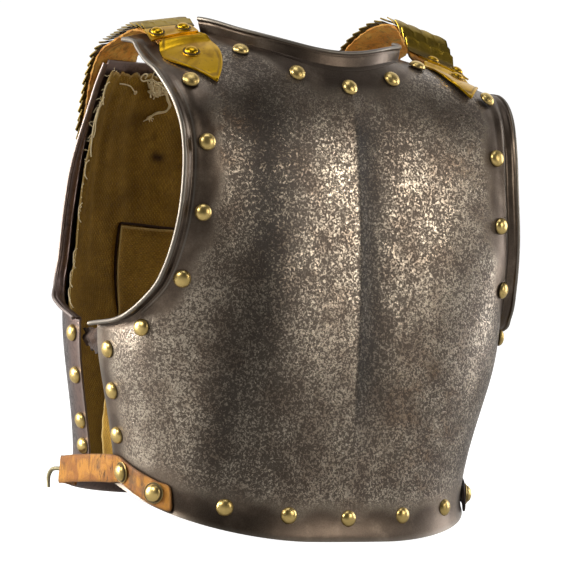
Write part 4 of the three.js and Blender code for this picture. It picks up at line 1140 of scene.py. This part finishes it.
# Each scale is a curved plate whose free edge, cut in small lobes, stands over the next one.
def scaleShells(rails, side):
    count, first = strapLook["scales"], strapLook["firstScale"]
    pitch = (strapLook["lastScale"] - first) / count
    length = np.linalg.norm(np.diff(rails[0], axis=0), axis=1).sum()
    w, c = evenNet((0, 1, 10), (-1, 1, 49))
    lobes = np.abs(np.sin((c + 1) / 2 * strapLook["lobes"] * math.pi))
    lobe = strapLook["lobe"] * np.sqrt(lobes) / length * smooth(0.3, 1, w)
    scales = []
    for i in range(count):
        start, end = first + i * pitch, first + (i + 1.28) * pitch
        t = np.minimum(mix(start, end, w) + lobe, 0.985)
        width = 1 - 0.02 * random.uniform(-1, 1)
        rise = strapLook["leather"] / 2 + 1.0 + strapLook["scaleRise"] * w**1.2 + 0.35 * lobes * w
        rise = rise + random.uniform(-0.15, 0.25) * w + 0.3 * random.uniform(-1, 1) * w * c
        n = strapNormals(rails, np.minimum(t, 0.98), c, side)
        grid = onStrap(rails, t, c * width) + n * rise[..., None]
        # Painted shade: the scales turn dark down the back, where they lie in shadow.
        shadeDownBack = 0.55 * smooth(0.3, 0.42, start)     # darker down the back
        # Painted shade under the free edge of the scale before it and down the back; the painted highlight on
        # its own free edge fades where that shade is.
        crevice = np.maximum(0.7 * (1 - smooth(0.25, 0.5, w)), shadeDownBack)
        scales.append(wallShell(grid + n * strapLook["scaleWall"], grid, crevice=crevice,
                                rim=smooth(0.93, 1.0, w) * (1 - 1.7 * shadeDownBack)))
    return scales


# Pointed end plate with a raised border, rounded at its root, climbing over the leather's end.
def tongueShell(side):
    look, leatherEnd = tongueLook, strapLook["front"][0]
    t, k = evenNet((0, 1, 44), (-1, 1, 25))
    y = mix(look["tip"], look["root"], t)
    taper = np.clip((y - look["tip"]) / (look["shoulder"] - look["tip"]), 0, 1)
    half = np.maximum(0.4, look["half"] * np.sin(taper * math.pi / 2) ** 0.85)
    # Towards the root the outline curves in, sooner and further at the arm than at the neck.
    armRound = 0.97 * np.clip((y + 52) / 33, 0, 1) ** 1.9
    neckRound = 0.93 * np.clip((y + 44) / 25, 0, 1) ** 1.9
    half = half * np.sqrt(1 - np.where(k > 0, armRound, neckRound) ** 2)
    centre = mix(look["tipX"], look["middle"], smooth(0, 1, taper))
    climb = smooth(leatherEnd - 11, leatherEnd - 2, y) * (strapLook["leather"] + strapLook["clearance"] + 0.1)
    edge = np.minimum((1 - np.abs(k)) * half, (y - look["tip"]) * 0.6)
    bead = (0.55 * smooth(2.4, 1.6, edge) * smooth(0, 0.5, edge)
            - 0.2 * smooth(4.2, 3.2, edge) * smooth(2.2, 2.8, edge))
    grid, n = aboveShoulder(side * (centre + k * half), y, 0.5 + climb)
    # A painted highlight, partly polish, on the raised border, and painted shade with some dirt in the sunk
    # line inside it.
    return wallShell(grid + n * (look["wall"] + bead)[..., None], grid, rim=smooth(2.4, 1.4, edge),
                     crevice=0.55 * smooth(4.4, 3.4, edge) * smooth(2.0, 2.8, edge))


# Cross plate with two ringed rivets.
def barShells(side):
    height = strapLook["clearance"] + strapLook["leather"] + tongueLook["wall"] + 0.8
    k, t = evenNet((0, 1, 30), (0, 1, 12))
    grid, n = aboveShoulder(side * mix(*barLook["x"], k), mix(*barLook["y"], t), np.full(k.shape, height))
    edge = np.minimum(np.minimum(k, 1 - k) * 43, np.minimum(t, 1 - t) * 15)
    # A painted highlight, partly polish, on the raised edge, and painted shade with some dirt just inside it.
    bar = wallShell(grid + n * (barLook["wall"] + 0.35 * smooth(1.6, 0.9, edge))[..., None], grid,
                    rim=smooth(1.6, 0.8, edge), crevice=0.5 * smooth(2.8, 2.0, edge) * smooth(1.2, 1.8, edge))
    spots, normals = aboveShoulder(side * np.array(barLook["rivets"]), np.full(2, barLook["rivetY"]),
                                   np.full(2, height + 1.2))
    small = [rivetLook[k] for k in ("smallRadius", "smallHeight", "smallWasher")]
    return [bar, *(headShell(p, n, *small, 22) for p, n in zip(spots, normals))]


# A shoulder strap with its scales, end plate, cross plate and stud.
def addShoulder(side, word):
    rails = strapRails(side, word)
    addPiece(f"shoulder_hide_{word}", [strapLeatherShell(rails, side)], shoulderLeather,
             [f"shoulder_leather_{word}"])
    addPiece(f"shoulder_plates_{word}", scaleShells(rails, side), scaleBrass,
             [f"shoulder_scales_{word}"])
    addPiece(f"shoulder_end_{word}", [tongueShell(side)], plateBrass, [f"shoulder_tongue_{word}"])
    addPiece(f"shoulder_bar_{word}", barShells(side), plateBrass, [f"shoulder_cross_{word}"])
    spot, n = aboveShoulder(np.array([side * studPlace[0]]), np.array([studPlace[1]]), np.array([1.6]))
    stud = headShell(spot[0], n[0], *(rivetLook[k] for k in ("studRadius", "studHeight", "studWasher")))
    addPiece(f"shoulder_boss_{word}", [stud], plateBrass, [f"shoulder_stud_{word}"])


addShoulder(-1, "right")
addShoulder(1, "left")
print("cuirass: shoulder straps made")


# Waist straps: up the plate from the start to its corner, on towards the back, and there folded.
waistLook = {
    "startAngle": 0.69, "cornerAngle": 0.955, "startHeight": 28, "cornerHeight": 45.5, "width": 24,
    "foldX": 175, "foldY": 52, "foldRadius": 4, "returnY": 38, "sag": 12.5, "leather": 2.8, "corner": 4.5,
    "clearance": 0.6, "rivets": (0.29, 0.93),
}
hookLook = {
    "radius": 1.8, "pinRadius": 1.7, "pinHalf": 9,
    # from the fold: x, y and z
    "route": [(0, 0, 0), (-0.5, 11, -0.5), (-1.5, 21, -3), (-2, 25, -9), (-2, 23.5, -19)],
}
scrapLook = {"x": 179, "y": (-13, 27), "z": (141, 163), "half": 0.9}


# Lower and upper edge of a strap over the breastplate, at share t from its start to its corner.
def waistOnPlate(side, t):
    w = waistLook
    angle = side * mix(w["startAngle"], w["cornerAngle"], t)
    level = mix(w["startHeight"], w["cornerHeight"], t**1.3)
    height = (plateLook["breastWall"] + 3.0) / 2 + w["clearance"]
    places = [findOnPlate(breastForm, 0, level + k * w["width"], 2, angle) for k in (-0.5, 0.5)]
    return [platePoint(breastForm, q, s) + plateNormal(breastForm, q, s) * height for q, s in places]


# Both edges of a strap: seven places on the plate, six on the way to the fold, then the fold.
def waistRails(side, folded):
    w = waistLook
    rails = [waistOnPlate(side, t) for t in np.linspace(0, 1, 7)]
    corner = (rails[-1][0] + rails[-1][1]) / 2
    low, radius = corner[2] - w["sag"], w["foldRadius"]
    steps = np.linspace(0, 1, 7)[1:]

    def upright(x, y, z):
        rails.append([np.array([side * x, y, z + k * w["width"]]) for k in (-0.5, 0.5)])

    for t in steps:
        outwards = mix(abs(corner[0]), w["foldX"], 1 - (1 - t) ** 1.6)
        upright(outwards, mix(corner[1], w["foldY"], t), corner[2] - w["sag"] * t**1.4)
    if folded:
        for t in steps:
            turn = t * math.pi
            upright(w["foldX"] - radius * (1 - math.cos(turn)), w["foldY"] + radius * math.sin(turn), low - t)
        upright(w["foldX"] - 2 * radius + 0.5, w["returnY"], low)
    return [sampleLine(np.array(rails)[:, i], 260) for i in (0, 1)]


# The leather of a waist strap, swept along its two edges.
def waistShell(side, folded):
    low, high = waistRails(side, folded)
    width, corner = waistLook["width"], waistLook["corner"]
    along = np.concatenate([[0], np.cumsum(np.linalg.norm(np.diff((low + high) / 2, axis=0), axis=1))])
    a, k = np.meshgrid(along, np.linspace(0, 1, 15), indexing="ij")
    grid = mix(low[:, None], high[:, None], k[..., None])
    # The start is rounded: each side moves in by a quarter circle.
    inset = corner * (1 - np.sqrt(np.clip(1 - ((corner - along) / corner) ** 2, 0, 1))) * (along < corner)
    middle = grid.mean(1, keepdims=True)
    grid = middle + (grid - middle) * (1 - 2 * inset / width)[:, None, None]
    n = gridNormals(grid)
    n *= np.sign(n[20, 7, 0]) * side
    wave = (0.21 * np.sin(a * 0.33) * np.sin(k * 4 + a * 0.05))[..., None]
    half = (waistLook["leather"] / 2 * (1 - 0.45 * np.abs(2 * k - 1) ** 8))[..., None]
    edge = np.minimum(np.minimum(k, 1 - k) * width, a)
    worn = np.clip(smooth(34, 62, a) * (1 - 0.75 * smooth(75, 110, a)) + 0.15, 0, 1)
    crevice = np.maximum(0.75 * smooth(1.8, 0.4, edge), 0.6 * smooth(3.5, 0, k * width))
    return wallShell(grid + n * (half + wave), grid - n * (half - wave), worn=worn, crevice=crevice)


# A waist strap with the rivets that hold it.
def addWaistStrap(side, word, folded, material):
    addPiece(f"waist_leather_{word}", [waistShell(side, folded)], material, [f"waist_strap_{word}"])
    for number, share in enumerate(waistLook["rivets"], 4):
        bottom, top = waistOnPlate(side, share)
        ahead, behind = waistOnPlate(side, share + 0.02)[0], waistOnPlate(side, share - 0.02)[0]
        n = unit(np.cross(top - bottom, ahead - behind)) * -side
        point = (bottom + top) / 2 + n * (waistLook["leather"] / 2 + 0.4)
        head = headShell(point, n, *(rivetLook[k] for k in ("radius", "height", "washer")))
        node = f"waist_rivet_{word}_{number}"
        addPiece(f"{node}_head", [head], rivetBrass, [node])


addWaistStrap(-1, "right", True, strapLeather)
addWaistStrap(1, "left", False, oldLeather)

# The hook: a tapering wire from a pin that stands in the fold.
fold = np.array([waistLook["foldRadius"] - waistLook["foldX"], waistLook["foldY"] + 0.4,
                 waistLook["cornerHeight"] - waistLook["sag"]])
arm = sampleLine(fold + np.array(hookLook["route"]), 60)
taper = hookLook["radius"] * (1 - 0.25 * smooth(0.7, 1, np.linspace(0, 1, 60)))
pinEnd = np.array([0, 0, hookLook["pinHalf"]])
pin = np.linspace(fold - pinEnd, fold + pinEnd, 14)
addPiece("wire_hook",
         [tubeShell(arm, taper, 12, crevice=0.2), tubeShell(pin, hookLook["pinRadius"], 12, crevice=0.3)],
         hookWire, ["waist_hook"])

# Torn scrap: an upright net across the side gap, its lower and upper edges notched by two waves.
k, t = evenNet((0, 1, 26), (0, 1, 22))
torn = 1.1 * np.sin(k * 19) + 0.7 * np.sin(k * 41)
lowest, highest = scrapLook["z"]
x = -(scrapLook["x"] + 1.2 * np.sin(k * 5 + t * 9) - 3 * k)
z = mix(lowest + 6 * k * k + torn, highest - 4 * k + 0.5 * torn, t)
grid = np.stack([x, mix(*scrapLook["y"], k), z], -1)
n = gridNormals(grid) * scrapLook["half"]
addPiece("torn_leather", [wallShell(grid + n, grid - n, worn=0.7, crevice=0.3)], oldLeather,
         ["leather_scrap"])
print("cuirass: waist straps and hook made")


# Studio: a camera with a long lens, five soft area lights, a pale floor and a pale backdrop.
cameraLook = {
    "azimuth": 32.0, "elevation": 4.0, "roll": 4.545, "distance": 3374.9, "lens": 244.06,
    "target": (3.441, -2.15, 204.295),
}
studioLook = {
    "world": 0.015, "backdrop": 1.05, "seen": 1.05, "floorSeen": 0.96, "floorGlow": 0.14, "floorGrey": 0.4,
    "aim": 0.2,     # height in metres that the lights point at
    # name, direction (azimuth, elevation) from the object, distance m, size m, power W, color
    "lights": [
        ("leftStrip", (-118, 9), 2.2, (0.7, 1.5), 88, (1, 0.98, 0.96)),
        ("frontRight", (29, 19), 2.4, (0.55, 1.1), 12, (1, 0.95, 0.88)),
        ("rightBack", (80, 9), 2.3, (0.6, 1.5), 21, (0.97, 0.98, 1)),
        ("frontLeft", (-75, 32), 2.6, (0.5, 0.6), 27, (1, 0.96, 0.9)),
        ("top", (-20, 80), 2.0, (1.0, 0.8), 7, (0.93, 0.95, 1)),
    ],
}


# Adds a camera or a light that looks along its own -Z, given its three axes and its place.
def addToStudio(name, data, axes, place):
    thing = bpy.data.objects.new(name, data)
    rows = [[*row, at] for row, at in zip(np.stack(axes, 1), place)]
    thing.matrix_world = Matrix([*rows, [0, 0, 0, 1]])
    bpy.context.scene.collection.objects.link(thing)
    return thing


def addCamera():
    a, e, roll = (math.radians(cameraLook[k]) for k in ("azimuth", "elevation", "roll"))
    forward = np.array([math.sin(a) * math.cos(e), math.cos(a) * math.cos(e), -math.sin(e)])
    right = np.array([math.cos(a), -math.sin(a), 0])
    up = np.cross(right, forward)
    right, up = math.cos(roll) * right + math.sin(roll) * up, math.cos(roll) * up - math.sin(roll) * right
    data = bpy.data.cameras.new("studioCamera")
    data.sensor_width, data.lens = 36, cameraLook["lens"]
    data.clip_start, data.clip_end = 0.1, 60
    place = (np.array(cameraLook["target"]) - forward * cameraLook["distance"]) * 0.001
    bpy.context.scene.camera = addToStudio("studioCamera", data, [right, up, -forward], place)


def addLight(name, toward, distance, size, power, color):
    a, e = (math.radians(v) for v in toward)
    out = np.array([math.sin(a) * math.cos(e), -math.cos(a) * math.cos(e), math.sin(e)])
    side = unit(np.cross([0, 0, 1], out))
    data = bpy.data.lights.new(name, "AREA")
    data.shape, data.size, data.size_y = "RECTANGLE", *size
    data.energy, data.color = power, color
    addToStudio(name, data, [side, np.cross(out, side), out], out * distance + [0, 0, studioLook["aim"]])


# Pale floor: mostly its own white, so that only a faint shadow stays under the plates.
def addFloor():
    mesh = bpy.data.meshes.new("floor")
    mesh.from_pydata([(-30, -30, 0), (30, -30, 0), (30, 30, 0), (-30, 30, 0)], [], [(0, 1, 2, 3)])
    floor = bpy.data.objects.new("floor", mesh)
    material, surface, place = startMaterial("pale floor")
    tree, grey = place.tree, studioLook["floorGrey"]
    fill(surface, {"Base Color": (grey, grey, grey, 1), "Roughness": 0.9, "Specular IOR Level": 0.0})
    low, high = studioLook["floorGlow"], studioLook["floorSeen"]
    seen = put(tree, "ShaderNodeLightPath", {}, "Is Camera Ray")
    glow = put(tree, "ShaderNodeEmission", {"Color": (1, 1, 1, 1), "Strength": seen * (high - low) + low})
    both = put(tree, "ShaderNodeAddShader", {0: Value(surface.outputs[0]), 1: glow})
    fill(tree.nodes["Material Output"], {"Surface": both})
    mesh.materials.append(material)
    bpy.context.scene.collection.objects.link(floor)
    floor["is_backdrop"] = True


# Around: white behind the object and for the view itself, dim in front of it.
def addSurroundings():
    world = bpy.data.worlds.new("studio")
    bpy.context.scene.world = world
    world.use_nodes = True
    tree, a = world.node_tree, math.radians(cameraLook["azimuth"])
    direction = put(tree, "ShaderNodeTexCoord", {}, "Generated")
    away = {0: direction, 1: (math.sin(a), math.cos(a), 0)}
    facing = put(tree, "ShaderNodeVectorMath", away, "Value", operation="DOT_PRODUCT")
    dim, bright = studioLook["world"], studioLook["backdrop"]
    strength = stepUp(facing, 0.1, 0.75) * (bright - dim) + dim
    seen = put(tree, "ShaderNodeLightPath", {}, "Is Camera Ray") * studioLook["seen"]
    fill(tree.nodes["Background"], {"Strength": calc("MAXIMUM", strength, seen), "Color": (1, 1, 1, 1)})


addCamera()
for light in studioLook["lights"]:
    addLight(*light)
addFloor()
addSurroundings()
bpy.context.scene.view_settings.view_transform = "Standard"
print("cuirass: studio made")

low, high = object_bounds()
